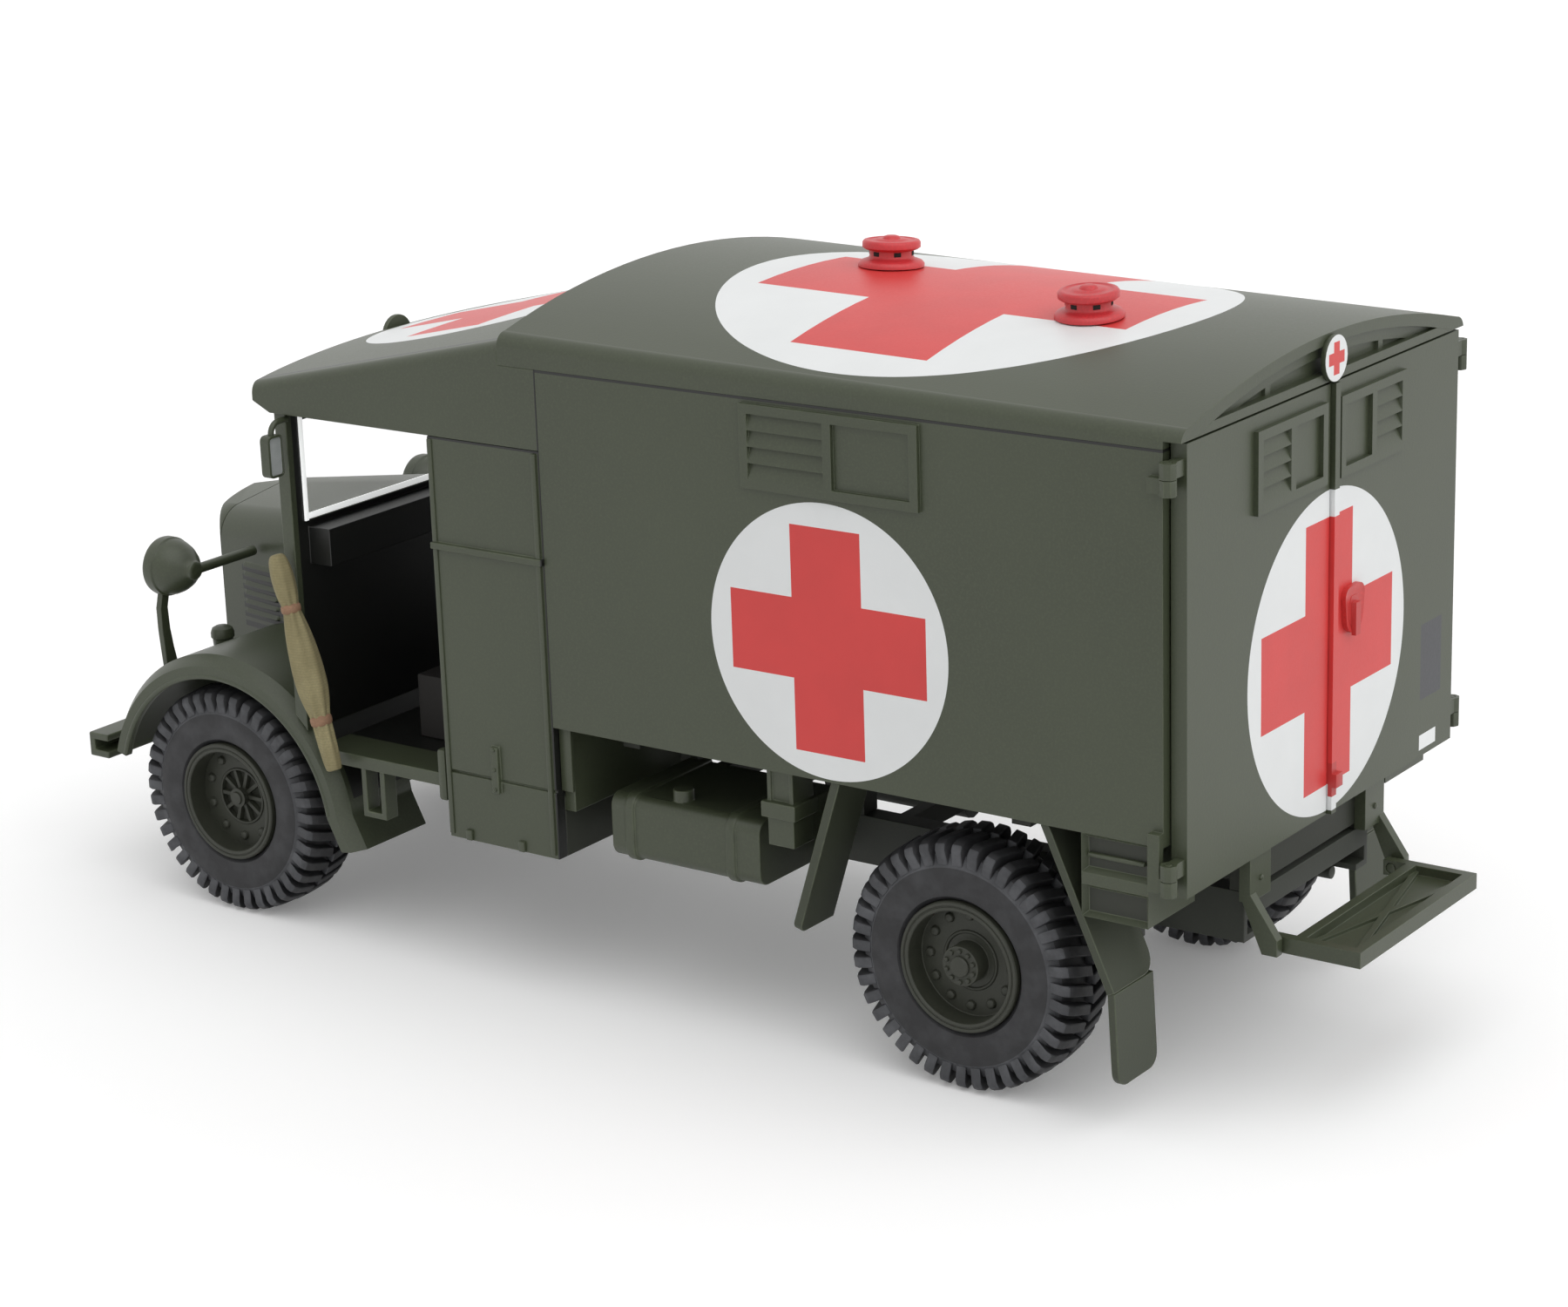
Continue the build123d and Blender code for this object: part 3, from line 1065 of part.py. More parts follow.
def make_step():
    top_z, low_z = STEP_HINGE_Z + STEP_T / 2, STEP_HINGE_Z - STEP_T / 2
    in_y = STEP_HALF_W - STEP_RAIL_W
    rail = box((STEP_REAR_X, STEP_HINGE_X + STEP_T / 2), (in_y, STEP_HALF_W), (low_z, top_z))
    rail = rail - across(STEP_HINGE_X, STEP_HINGE_Z, 0, FAR, STEP_PIN_R + RUN_GAP)
    front_x = STEP_HINGE_X - STEP_T
    tray = box((STEP_REAR_X, front_x), (-in_y, in_y), (low_z, low_z + STEP_TRAY_T))
    lips = [
        box((x, x + STEP_RAIL_W), (-in_y, in_y), (low_z, top_z)) for x in (STEP_REAR_X, front_x - STEP_RAIL_W)
    ]
    x0, x1 = STEP_REAR_X + STEP_RAIL_W, front_x - STEP_RAIL_W
    slant = degrees(atan2(2 * in_y, x1 - x0))
    rib = Box(hypot(2 * in_y, x1 - x0), STEP_RIB_W, STEP_RIB_H)
    room = box((x0, x1), (-in_y, in_y), (low_z, top_z))
    spot = Pos((x0 + x1) / 2, 0, low_z + STEP_TRAY_T + STEP_RIB_H / 2)
    ribs = [room & (spot * Rot(0, 0, angle) * rib) for angle in (slant, -slant)]
    nodes["rear_step"] = rail.fuse(other_side(rail), tray, *lips, *ribs)

    out_y = STEP_HALF_W + SIDE_GAP
    end_y = out_y + HANGER_ARM_T
    plate_z = STEP_HINGE_Z + HANGER_W
    plate_top = DOOR_LOW_Z - 2 * SIDE_GAP
    plate = box((RAIL_REAR_X - HANGER_T, RAIL_REAR_X), (end_y - HANGER_W, end_y), (plate_z, plate_top))
    half = STEP_T / 2
    arm = plate_xz(
        [
            (RAIL_REAR_X, plate_z + half),
            (RAIL_REAR_X - HANGER_T, plate_z + half),
            (STEP_HINGE_X - half, STEP_HINGE_Z + half),
            (STEP_HINGE_X - half, STEP_HINGE_Z - half),
            (STEP_HINGE_X + half, STEP_HINGE_Z - half),
        ],
        out_y,
        end_y,
    )
    pin = across(STEP_HINGE_X, STEP_HINGE_Z, in_y, end_y, STEP_PIN_R)
    nodes["step_hangers"] = both_sides(plate.fuse(arm, pin))


place_wheels()
make_axles()
make_springs()
make_chassis()
make_drive_line()
make_front()
make_roofs()
make_cab_shell()
make_cab_fittings()
make_body()
make_doors()
make_fittings()
make_step()

os.makedirs("parts", exist_ok=True)
for name, shape in nodes.items():
    solids = [Pos(-CENTRE_X, 0, 0) * solid for solid in shape.solids()]
    export_step(solids[0] if len(solids) == 1 else Compound(solids), f"parts/{name}.step")
    print(name, len(solids), round(sum(solid.volume for solid in solids), 1))
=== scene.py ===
# %% [markdown]
# # A model ambulance truck
# The frame is the imported model: fifty nodes in metres, each with its place in its mesh. Everything
# below adds looks to that frame, and the pieces that it adds ride bodies that may turn.

# %% The frame
import json
import math

import bmesh
import bpy
from mathutils import Matrix, Vector


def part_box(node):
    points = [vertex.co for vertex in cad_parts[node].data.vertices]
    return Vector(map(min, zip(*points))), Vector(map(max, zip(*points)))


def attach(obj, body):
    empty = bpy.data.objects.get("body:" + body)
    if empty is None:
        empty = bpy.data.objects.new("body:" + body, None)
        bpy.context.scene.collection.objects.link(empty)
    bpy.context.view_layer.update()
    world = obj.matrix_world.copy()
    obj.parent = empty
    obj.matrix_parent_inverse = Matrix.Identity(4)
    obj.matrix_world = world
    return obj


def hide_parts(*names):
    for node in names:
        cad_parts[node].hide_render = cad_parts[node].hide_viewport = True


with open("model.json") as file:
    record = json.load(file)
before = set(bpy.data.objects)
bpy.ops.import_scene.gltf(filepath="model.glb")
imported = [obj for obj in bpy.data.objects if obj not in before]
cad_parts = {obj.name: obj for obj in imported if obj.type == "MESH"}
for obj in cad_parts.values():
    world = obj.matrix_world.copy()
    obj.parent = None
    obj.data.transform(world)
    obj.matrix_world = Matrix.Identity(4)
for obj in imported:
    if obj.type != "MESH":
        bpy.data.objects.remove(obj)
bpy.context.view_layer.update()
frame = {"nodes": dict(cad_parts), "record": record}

MM = 0.001
nodes = frame["nodes"]

# %% [markdown]
# ## Shader maths
# Blender's shaders are graphs of nodes, and a graph that is built by hand is hard to read. One small
# class wraps a socket, so that a sum, a product or a comparison in Python adds the Math node that does
# it. Every other node comes from its node method. This keeps each finish a few readable lines.

# %% A socket that can be added, multiplied and compared
class Wire:
    """One output socket in a material's graph."""

    def __init__(self, tree, socket=None):
        self.tree = tree
        self.socket = socket

    def node(self, kind, settings, inputs, out=0):
        made = self.tree.nodes.new(kind)
        for name, value in settings.items():
            setattr(made, name, value)
        for name, value in inputs.items():
            if isinstance(value, Wire):
                self.tree.links.new(value.socket, made.inputs[name])
            else:
                made.inputs[name].default_value = value
        return Wire(self.tree, made.outputs[out])

    def math(self, operation, first, second):
        return self.node("ShaderNodeMath", {"operation": operation}, {0: first, 1: second})

    def __add__(self, other):
        return self.math("ADD", self, other)

    def __sub__(self, other):
        return self.math("SUBTRACT", self, other)

    def __rsub__(self, other):
        return self.math("SUBTRACT", other, self)

    def __mul__(self, other):
        return self.math("MULTIPLY", self, other)

    def __lt__(self, other):
        return self.math("LESS_THAN", self, other)

    def __gt__(self, other):
        return self.math("GREATER_THAN", self, other)

    def __abs__(self):
        return self.math("ABSOLUTE", self, 0.0)

    __radd__ = __add__
    __rmul__ = __mul__

    def mix(self, low, high):
        """The colour low where this wire is 0, and high where it is 1."""
        colours = {0: self, 6: low, 7: high}
        return self.node("ShaderNodeMix", {"data_type": "RGBA", "clamp_factor": True}, colours, out=2)


print("shader maths ready")

# %% [markdown]
# ## Colours
# A colour picked from a picture is in sRGB, which is what a screen shows. Blender's sockets take linear
# light, so a small helper turns the hex of the first into the numbers of the second.

# %% Colours from hex
def colour(hex_code):
    levels = [int(hex_code[i : i + 2], 16) / 255 for i in (0, 2, 4)]
    return (*[v / 12.92 if v < 0.04045 else ((v + 0.055) / 1.055) ** 2.4 for v in levels], 1.0)


GREEN = colour("3C4231")
DARK_GREEN = colour("2C2F28")
WHITE = colour("E4E6E6")
RED = colour("CB3A38")
SHADOW_BLACK = colour("121311")
print("green in linear light", [round(v, 3) for v in GREEN[:3]])

# %% [markdown]
# ## Matte paint
# The real object is moulded plastic under a thin matte paint: almost one colour, with a faint cloudiness
# about two centimetres wide, a fine grain from the spray, and raised edges that a nearly dry brush has
# made paler. A material with one noise for the cloud and a finer one for the grain gives that at the
# right scale. The finish is one function, because the green, the dark chassis and the red differ only in
# colour and edge.

# %% The matte paint
def new_finish(name):
    material = bpy.data.materials.new(name)
    material.use_nodes = True
    tree = material.node_tree
    shader = tree.nodes["Principled BSDF"]
    return material, Wire(tree), shader


def noise(start, scale, detail=3.0):
    place = start.node("ShaderNodeTexCoord", {}, {}, out="Object")
    inputs = {"Vector": place, "Scale": scale, "Detail": detail, "Roughness": 0.6}
    return start.node("ShaderNodeTexNoise", {}, inputs)


def contrast(wire, low, high):
    """0 below low, 1 above high, and even between."""
    return wire.node("ShaderNodeMapRange", {"clamp": True}, {0: wire, 1: low, 2: high, 3: 0.0, 4: 1.0})


def shade(base, gain):
    return (*[min(1.0, v * gain) for v in base[:3]], 1.0)


def painted(name, base, worn=0.0, rough=0.41, grain=0.2):
    """Matte paint. worn is how much of a paler dry brushing lies on it."""
    material, start, shader = new_finish(name)
    cloud = contrast(noise(start, 55.0), 0.3, 0.7)
    fine = noise(start, 5200.0, 2.0)
    coat = cloud.mix(shade(base, 0.92), shade(base, 1.08))
    coat = contrast(fine, 0.45, 0.8).mix(coat, shade(base, 1.25))
    if worn:
        brush = contrast(noise(start, 700.0), 0.35, 0.75) * worn
        coat = brush.mix(coat, shade(base, 1.9))
    bump = start.node("ShaderNodeBump", {}, {"Height": fine, "Strength": grain, "Distance": 0.03 * MM})
    start.tree.links.new(coat.socket, shader.inputs["Base Color"])
    start.tree.links.new((fine * 0.12 + (rough - 0.06)).socket, shader.inputs["Roughness"])
    start.tree.links.new(bump.socket, shader.inputs["Normal"])
    return material, start, shader, coat


body_paint = painted("body_green_paint", GREEN)[0]
body_edge = painted("body_green_edge", GREEN, worn=0.75)[0]
chassis_paint = painted("chassis_paint", DARK_GREEN, rough=0.62)[0]
chassis_edge = painted("chassis_edge", DARK_GREEN, worn=0.6, rough=0.62)[0]
wheel_paint = painted("wheel_paint", colour("2D2F26"), worn=0.15, rough=0.55)[0]
wheel_edge = painted("wheel_edge", colour("2D2F26"), worn=0.8, rough=0.55)[0]
vent_paint = painted("ventilator_red_paint", colour("BE3035"), rough=0.4)[0]
vent_edge = painted("ventilator_red_edge", colour("B84044"), worn=0.3, rough=0.4)[0]
# Painted shade: a near-black brown for the seats and the parts in the canvas slot, the seats' brown darkened
# for the dark cab.
seat_painted_shade = painted("seat_brown_painted_shade", colour("171412"), worn=0.1, rough=0.65)[0]
# A dark green that is painted shade, for parts that lie in deep shade.
shade_paint = painted("shaded_green_paint", colour("25281F"), rough=0.6)[0]
print("paints", len(bpy.data.materials))

# %% [markdown]
# ## Red crosses on white discs
# Each large panel of the body carries a white disc with a red cross, laid on smooth and flat. A separate
# thin disc would flicker against the panel or stand off it, so the mark is in the paint itself: two
# distances from the mark's centre give a disc and two crossing bars. The surface's own direction keeps
# the mark on the outer face, so that the inside of the wall stays green. On the doors a box of limits
# does that, so that the strip between them is marked too.

# %% The marks in the paint
def coordinates(start):
    place = start.node("ShaderNodeTexCoord", {}, {}, out="Object")
    return {axis: start.node("ShaderNodeSeparateXYZ", {}, {0: place}, out=axis) for axis in "XYZ"}


def looking(start, axis, sign):
    """1 on faces that look along an axis, and 0 on the rest."""
    normal = start.node("ShaderNodeTexCoord", {}, {}, out="Normal")
    return (start.node("ShaderNodeSeparateXYZ", {}, {0: normal}, out=axis) * sign) > 0.35


def within(apart, limits):
    """1 inside a box of millimetre limits by axis, and 0 outside it."""
    inside = None
    for axis, (low, high) in limits.items():
        test = (apart[axis] > low * MM) * (apart[axis] < high * MM)
        inside = test if inside is None else inside * test
    return inside


def on_faces(start, apart, where):
    """A mask from box limits, or from the way (axis, sign) that faces look."""
    return within(apart, where) if isinstance(where, dict) else looking(start, *where)


def emblem(start, apart, mark, axes, where):
    """Two masks, the disc and the cross, in the plane of two axes."""
    centre = [mark["centre"]["XYZ".index(axis)] * MM for axis in axes]
    across, up = [abs(apart[axis] - middle) for axis, middle in zip(axes, centre)]
    half_span, half_arm = mark["span"] / 2 * MM, mark["arm"] / 2 * MM
    disc = (across * across + up * up) < (mark["disc"] * MM) ** 2
    level = (across < half_span) * (up < half_arm)
    upright = (across < half_arm) * (up < half_span)
    return disc * on_faces(start, apart, where), start.math("MAXIMUM", level, upright)


def panel_paint(name, marks=(), patches=(), worn=0.0):
    """Green paint with emblems, and with patches: tone, box limits, and the way their faces look."""
    material, start, shader, coat = painted(name, GREEN, worn)
    apart = coordinates(start)
    film = contrast(noise(start, 160.0), 0.35, 0.75)
    for mark in marks:
        disc, cross = emblem(start, apart, *mark)
        white = film.mix(shade(WHITE, 0.96), WHITE)
        red = film.mix(RED, shade(RED, 1.1))
        coat = disc.mix(coat, cross.mix(white, red))
    for tone, limits, facing in patches:
        spot = within(apart, limits)
        if facing:
            spot = spot * on_faces(start, apart, facing)
        coat = spot.mix(coat, film.mix(tone, shade(tone, 1.1)))
    start.tree.links.new(coat.socket, shader.inputs["Base Color"])
    return material


print("emblem masks ready")

# %% [markdown]
# ## Panels that differ from plain green
# The record of each panel lists its emblems and its patches. A patch is a box in which the paint has
# another tone: painted shade for the black inside of the cab, under the skirts of the roofs, along the
# cab roof's step and in the slots between louvres; a dark seam where two mouldings meet; or the red of a
# latch. One table keeps all of them in view, and every patch is measured in millimetres from the model's
# own origin.

# %% Emblems and patches by panel
SIDE_MARK = {"centre": (-21.6, 0.0, 32.53), "disc": 10.1, "span": 16.58, "arm": 5.93}
DOOR_MARK = {"centre": (0.0, 0.0, 30.63), "disc": 11.75, "span": 19.63, "arm": 7.0}
ROOF_MARK = {"centre": (-21.3, 0.0, 0.0), "disc": 19.2, "span": 31.4, "arm": 11.5}
CAB_MARK = {"centre": (21.4, 0.0, 0.0), "disc": 13.0, "span": 21.0, "arm": 7.4}
REAR_SIGN = {"centre": (0.0, 0.0, 51.7), "disc": 1.62, "span": 2.3, "arm": 0.85}
FRONT_SIGN = {**REAR_SIGN, "centre": (0.0, 0.0, 45.2)}
PROUD = (-60.0, -49.93)
FACE = (-50.2, -49.8)
LATCH_RED = (shade(RED, 0.75), {"X": PROUD, "Y": (-1.3, 1.3), "Z": (19.9, 22.4)}, None)
HANDLE_RED = (shade(RED, 0.8), {"X": PROUD, "Y": (-4.7, -1.8), "Z": (31.0, 35.0)}, None)
GREY_SQUARE = (colour("333438"), {"X": FACE, "Y": (-18.1, -14.7), "Z": (23.0, 28.8)}, None)
WHITE_BAR = (WHITE, {"X": FACE, "Y": (-17.4, -14.7), "Z": (19.1, 20.25)}, None)
# Painted shade: dark lines just under the skirts of the body roof and of the cab roof.
ROOF_SKIRT_SHADE = (SHADOW_BLACK, {"Z": (49.3, 49.52)}, None)
CAB_SKIRT_SHADE = (SHADOW_BLACK, {"Z": (43.22, 43.42)}, None)
BULKHEAD_SEAM = (SHADOW_BLACK, {"X": (3.7, 3.87)}, None)
# The cab's inside is green on the model; in these boxes it gets painted shade, near-black where little light
# gets in.
CAB_ROOM = {"X": (3.7, 30.3), "Y": (-19.3, 19.3), "Z": (11.0, 52.0)}
DASH = {"X": (27.0, 29.42), "Y": (-18.75, 18.75), "Z": (12.0, 34.6)}
POST_BACK = {"X": (27.0, 30.0), "Y": (-19.7, 19.7), "Z": (12.0, 43.5)}
FLOOR_INSIDE = {"X": (3.0, 30.0), "Y": (-19.9, 16.5)}
ARCH_LEFT = {"X": (24.0, 29.42), "Y": (5.0, 18.6), "Z": (12.0, 21.0)}
ARCH_RIGHT = {**ARCH_LEFT, "Y": (-18.6, -5.0)}
OUTSIDE = {"X": (-60.0, -49.6)}
# Painted shade in the slots between the bonnet's louvres, also below the modelled louvres.
LOUVRE_PITCH = 0.8
LOUVRE_Z = [22.3 + LOUVRE_PITCH * i for i in range(-2, 5)]
LOUVRE_SLOT_SHADES = [(SHADOW_BLACK, {"X": (41.5, 47.3), "Z": (z, z + 0.6 * LOUVRE_PITCH)}, None) for z in LOUVRE_Z]
# Painted shade along the step at each side of the cab roof.
GROOVE_SIDES = ((19.1, 19.6), (-19.6, -19.1))
ROOF_STEP_SHADES = [(SHADOW_BLACK, {"X": (7.5, 34.0), "Y": side}, ("Z", 1)) for side in GROOVE_SIDES]


# A patch of painted shade on the faces of a box that look one way.
def inside(box, axis, sign):
    return (SHADOW_BLACK, box, (axis, sign))


PANELS = {
    "body_side_left": ([(SIDE_MARK, "XZ", ("Y", 1))], [ROOF_SKIRT_SHADE]),
    "body_side_right": ([(SIDE_MARK, "XZ", ("Y", -1))], [ROOF_SKIRT_SHADE]),
    "door_left": ([(DOOR_MARK, "YZ", OUTSIDE)], [LATCH_RED]),
    "door_right": ([(DOOR_MARK, "YZ", OUTSIDE)], [LATCH_RED, HANDLE_RED, GREY_SQUARE, WHITE_BAR]),
    "body_roof": ([(ROOF_MARK, "XY", ("Z", 1))], []),
    "cab_roof": ([(CAB_MARK, "XY", ("Z", 1))], [inside(CAB_ROOM, "Z", -1), BULKHEAD_SEAM, *ROOF_STEP_SHADES]),
    "side_panel_left": ([], [inside({"Z": (11.0, 44.0)}, "Y", -1), CAB_SKIRT_SHADE, BULKHEAD_SEAM]),
    "side_panel_right": ([], [inside({"Z": (11.0, 44.0)}, "Y", 1), CAB_SKIRT_SHADE, BULKHEAD_SEAM]),
    "front_bulkhead": ([], [inside({"Z": (12.0, 43.4)}, "X", 1)]),
    "cab_front": ([], [(SHADOW_BLACK, DASH, None), inside(POST_BACK, "X", -1)]),
    "cab_floor": ([], [(SHADOW_BLACK, FLOOR_INSIDE, None)]),
    "wing_left": ([], [(SHADOW_BLACK, ARCH_LEFT, None)]),
    "wing_right": ([], [(SHADOW_BLACK, ARCH_RIGHT, None)]),
    "bonnet": ([], LOUVRE_SLOT_SHADES),
    "sign_discs": ([(REAR_SIGN, "YZ", ("X", -1)), (FRONT_SIGN, "YZ", ("X", 1))], []),
}
EDGE_WORN = 0.75
panel_paints = {
    node: (panel_paint(f"{node}_paint", *tones), panel_paint(f"{node}_edge", *tones, worn=EDGE_WORN))
    for node, tones in PANELS.items()
}
print("panels with emblems or patches", len(panel_paints))

# %% [markdown]
# ## Clear plastic
# The windscreen and the lamp glasses are clear moulded plastic half a millimetre thick: nearly
# colourless, with a bright sheen, and an opaque white where the thickness is seen from its edge, which is
# painted light for the light that the edge gathers. A glass shader is slow in soft light, so this is
# transparency with a principled sheen on top. The surface's direction tells the flats from the edges. A
# second finish, pale and with a little light of its own, is painted light too, for the bright strips along
# those edges.

# %% The clear plastic
clear_plastic, start, shader = new_finish("clear_plastic")
shader.inputs["Base Color"].default_value = colour("EEF1EF")
shader.inputs["IOR"].default_value = 1.49
haze = noise(start, 900.0) * 0.08 + 0.03
start.tree.links.new(haze.socket, shader.inputs["Roughness"])
# Faces seen edge-on stay nearly opaque and white: painted light for what the edges gather.
flat = start.math("MAXIMUM", looking(start, "X", 1), looking(start, "X", -1))
start.tree.links.new((0.95 - flat * (0.92 - noise(start, 120.0) * 0.03)).socket, shader.inputs["Alpha"])
# Painted light: a pale finish that glows a little, for the light the thick edges gather.
pane_edge_glow, _, shader, _ = painted("clear_plastic_edge_glow", colour("EDF0EE"), rough=0.3)
shader.inputs["Emission Color"].default_value = colour("F4F6F5")
shader.inputs["Emission Strength"].default_value = 0.6
print("clear plastic ready")

# %% [markdown]
# ## Rubber
# The tyres are dark grey rubber-like plastic, dusted paler on the flanks of the lugs and round the
# shoulder. A shader in one frame can't tell how far a point is from each of four axles, so there are two
# rubbers, one dark and one dusty, and the tyre's own faces say which they wear.

# %% The tyre rubber
def tyre_rubber(name, base, dusty):
    material, start, shader, coat = painted(name, base, rough=0.6, grain=0.35)
    dust = contrast(noise(start, 420.0), 0.42, 0.8) * dusty
    coat = dust.mix(coat, colour("6C6D71"))
    start.tree.links.new(coat.socket, shader.inputs["Base Color"])
    return material


tyre_paint = tyre_rubber("tyre_rubber", colour("1E1E20"), 0.2)
lug_paint = tyre_rubber("tyre_dusty_rubber", colour("3A3B3E"), 0.6)
print("tyre rubber ready")

# %% [markdown]
# ## Soft edges on the frame
# A moulded part has no knife edges: each one is rounded by about a tenth of a millimetre, catches the
# light, and holds the dry brushing. The nodes of the frame keep their meshes, and modifiers finish them.
# Weld joins the loose triangles, a planar Decimate clears the lines across flat faces, Bevel rounds what
# is left, and Weighted Normal keeps the flats flat. The bevel's new faces take the second material, which
# is the paler edge.

# %% A group that shades faces smooth
def smooth_group():
    group = bpy.data.node_groups.new("smooth_faces", "GeometryNodeTree")
    group.interface.new_socket("Geometry", in_out="INPUT", socket_type="NodeSocketGeometry")
    group.interface.new_socket("Geometry", in_out="OUTPUT", socket_type="NodeSocketGeometry")
    source = group.nodes.new("NodeGroupInput")
    smooth = group.nodes.new("GeometryNodeSetShadeSmooth")
    result = group.nodes.new("NodeGroupOutput")
    group.links.new(source.outputs[0], smooth.inputs["Geometry"])
    group.links.new(smooth.outputs[0], result.inputs[0])
    return group


SMOOTH = smooth_group()
EDGE_SLOT = 1


def soften(piece, width):
    weld = piece.modifiers.new("join", "WELD")
    weld.merge_threshold = 0.0005 * MM
    clear = piece.modifiers.new("clear_flats", "DECIMATE")
    clear.decimate_type = "DISSOLVE"
    clear.angle_limit = math.radians(0.6)
    bevel = piece.modifiers.new("round_edges", "BEVEL")
    bevel.width = width * MM
    bevel.segments = 2
    bevel.limit_method = "ANGLE"
    bevel.angle_limit = math.radians(32)
    bevel.use_clamp_overlap = True
    bevel.material = EDGE_SLOT
    faces = piece.modifiers.new("smooth_faces", "NODES")
    faces.node_group = SMOOTH
    normals = piece.modifiers.new("even_normals", "WEIGHTED_NORMAL")
    normals.keep_sharp = True


print("edge finish ready")

# %% [markdown]
# ## The frame's own finishes
# Each node gets its paint by the record's slot, and the marked panels get theirs by name. A node's
# material slots are filled, and the shape of its mesh stays as it was imported.

# %% Paint on every node
# The lockers and the body's floor wear that dark green: painted shade behind the side panels and under the
# body.
NODE_PAINTS = {name: (shade_paint, shade_paint) for name in ("lockers", "body_floor")}
SLOT_PAINTS = {
    "body_green": (body_paint, body_edge, 0.09),
    "chassis_dark": (chassis_paint, chassis_edge, 0.06),
    "wheel_green": (wheel_paint, wheel_edge, 0.07),
    "tyre": (tyre_paint, tyre_paint, 0.08),
    "clear": (clear_plastic, clear_plastic, 0.04),
    "canvas": (seat_painted_shade, seat_painted_shade, 0.05),
    "vent_red": (vent_paint, vent_edge, 0.06),
    "sign_white": (body_paint, body_edge, 0.05),
    "seat": (seat_painted_shade, seat_painted_shade, 0.15),
}


def put_on(piece, *materials):
    """Fills the material slots. Clearing resets every face to the first slot, so a new mesh isn't cleared."""
    if len(piece.data.materials):
        piece.data.materials.clear()
    for material in materials:
        piece.data.materials.append(material)


ROUNDER = {
    "bumper": 0.15, "rear_step": 0.12, "fuel_tank": 0.14, "wing_left": 0.3, "wing_right": 0.3,
    "cab_roof": 0.3, "bonnet": 0.18, "door_left": 0.045, "door_right": 0.045,
}
for part in frame["record"]["subparts"]:
    name = part["node"]
    plain, edge, width = SLOT_PAINTS[part["material_slot"]]
    plain, edge = {**panel_paints, **NODE_PAINTS}.get(name, (plain, edge))
    put_on(nodes[name], plain, edge)
    soften(nodes[name], ROUNDER.get(name, width))
print("painted nodes", len(nodes))

# %% [markdown]
# ## How a new piece joins the frame
# Pieces that the frame keeps plain, such as the tyres, are modelled here with bmesh. Each one ends in the
# same way: doubles are merged, the faces are turned outwards, hard corners are marked by angle, and the
# piece gets its finishes and rides a body.

# %% Joining a piece to a body
def add_piece(name, bm, body, slot, *materials, stands_for=(), sharp=38.0):
    bmesh.ops.remove_doubles(bm, verts=bm.verts, dist=0.0004 * MM)
    bmesh.ops.recalc_face_normals(bm, faces=bm.faces)
    mesh = bpy.data.meshes.new(name)
    bm.to_mesh(mesh)
    bm.free()
    mesh.shade_smooth()
    mesh.set_sharp_from_angle(angle=math.radians(sharp))
    piece = bpy.data.objects.new(name, mesh)
    bpy.context.collection.objects.link(piece)
    put_on(piece, *materials)
    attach(piece, body)
    if stands_for:
        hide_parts(*stands_for)
    return piece


def verts_in(geom):
    return [part for part in geom if isinstance(part, bmesh.types.BMVert)]


def edges_in(geom):
    return [part for part in geom if isinstance(part, bmesh.types.BMEdge)]


def faces_in(geom):
    return [part for part in geom if isinstance(part, bmesh.types.BMFace)]


def edges_of(verts):
    return list({edge for vert in verts for edge in vert.link_edges})


def faces_of(verts):
    return list({face for vert in verts for face in vert.link_faces})


def since(bm, old):
    """The vertices that are not in an earlier set of them."""
    return [vert for vert in bm.verts if vert not in old]


def round_off(bm, geom, by, segments, affect="EDGES"):
    """Bevels edges or vertices by millimetres."""
    bmesh.ops.bevel(bm, geom=geom, offset=by * MM, affect=affect, segments=segments, profile=0.5, material=-1)


def spin_profile(bm, profile, steps, axis=(0, 1, 0), closed=True):
    """Turns (radius, along) points in millimetres about an axis through the origin."""
    along = Vector(axis)
    out = Vector((0, 0, 1)) if axis != (0, 0, 1) else Vector((1, 0, 0))
    ring = [bm.verts.new((out * r + along * a) * MM) for r, a in profile]
    ends = ring[1:] + (ring[:1] if closed else [])
    edges = [bm.edges.new(pair) for pair in zip(ring, ends)]
    turn = 2 * math.pi
    bmesh.ops.spin(bm, geom=ring + edges, cent=(0, 0, 0), axis=axis, angle=turn, steps=steps, use_merge=True)


def repeat_round(bm, verts, count):
    """Copies the faces of some vertices about the wheel's axle, evenly."""
    steps = count - 1
    turn = 2 * math.pi * steps / count
    about = {"cent": (0, 0, 0), "axis": (0, 1, 0), "angle": turn}
    bmesh.ops.spin(bm, geom=faces_of(verts), steps=steps, use_duplicate=True, **about)


def move_all(bm, matrix):
    bmesh.ops.transform(bm, matrix=matrix, verts=bm.verts)


def join(bm, other):
    """Adds another bmesh to this one."""
    carrier = bpy.data.meshes.new("carrier")
    other.to_mesh(carrier)
    other.free()
    bm.from_mesh(carrier)
    bpy.data.meshes.remove(carrier)


def soft_edges(piece, width, edge_slot=EDGE_SLOT):
    """A live bevel in millimetres, whose faces take the paler edge paint."""
    bevel = piece.modifiers.new("round_edges", "BEVEL")
    bevel.width = width * MM
    bevel.segments = 2
    bevel.limit_method = "ANGLE"
    bevel.material = edge_slot


print("piece helpers ready")

# %% [markdown]
# ## Lugged tyres
# The tyres have a smooth rounded sidewall and forty bar lugs on each shoulder, which bend over onto the
# tread and lean towards its middle. The wall is a profile spun about the axle. One lug is a flat outline,
# extruded to its width and bevelled, and spin with use_duplicate sets it round the wheel, which is
# quicker and more even than placing forty copies by hand. The two shoulders are half a pitch apart.

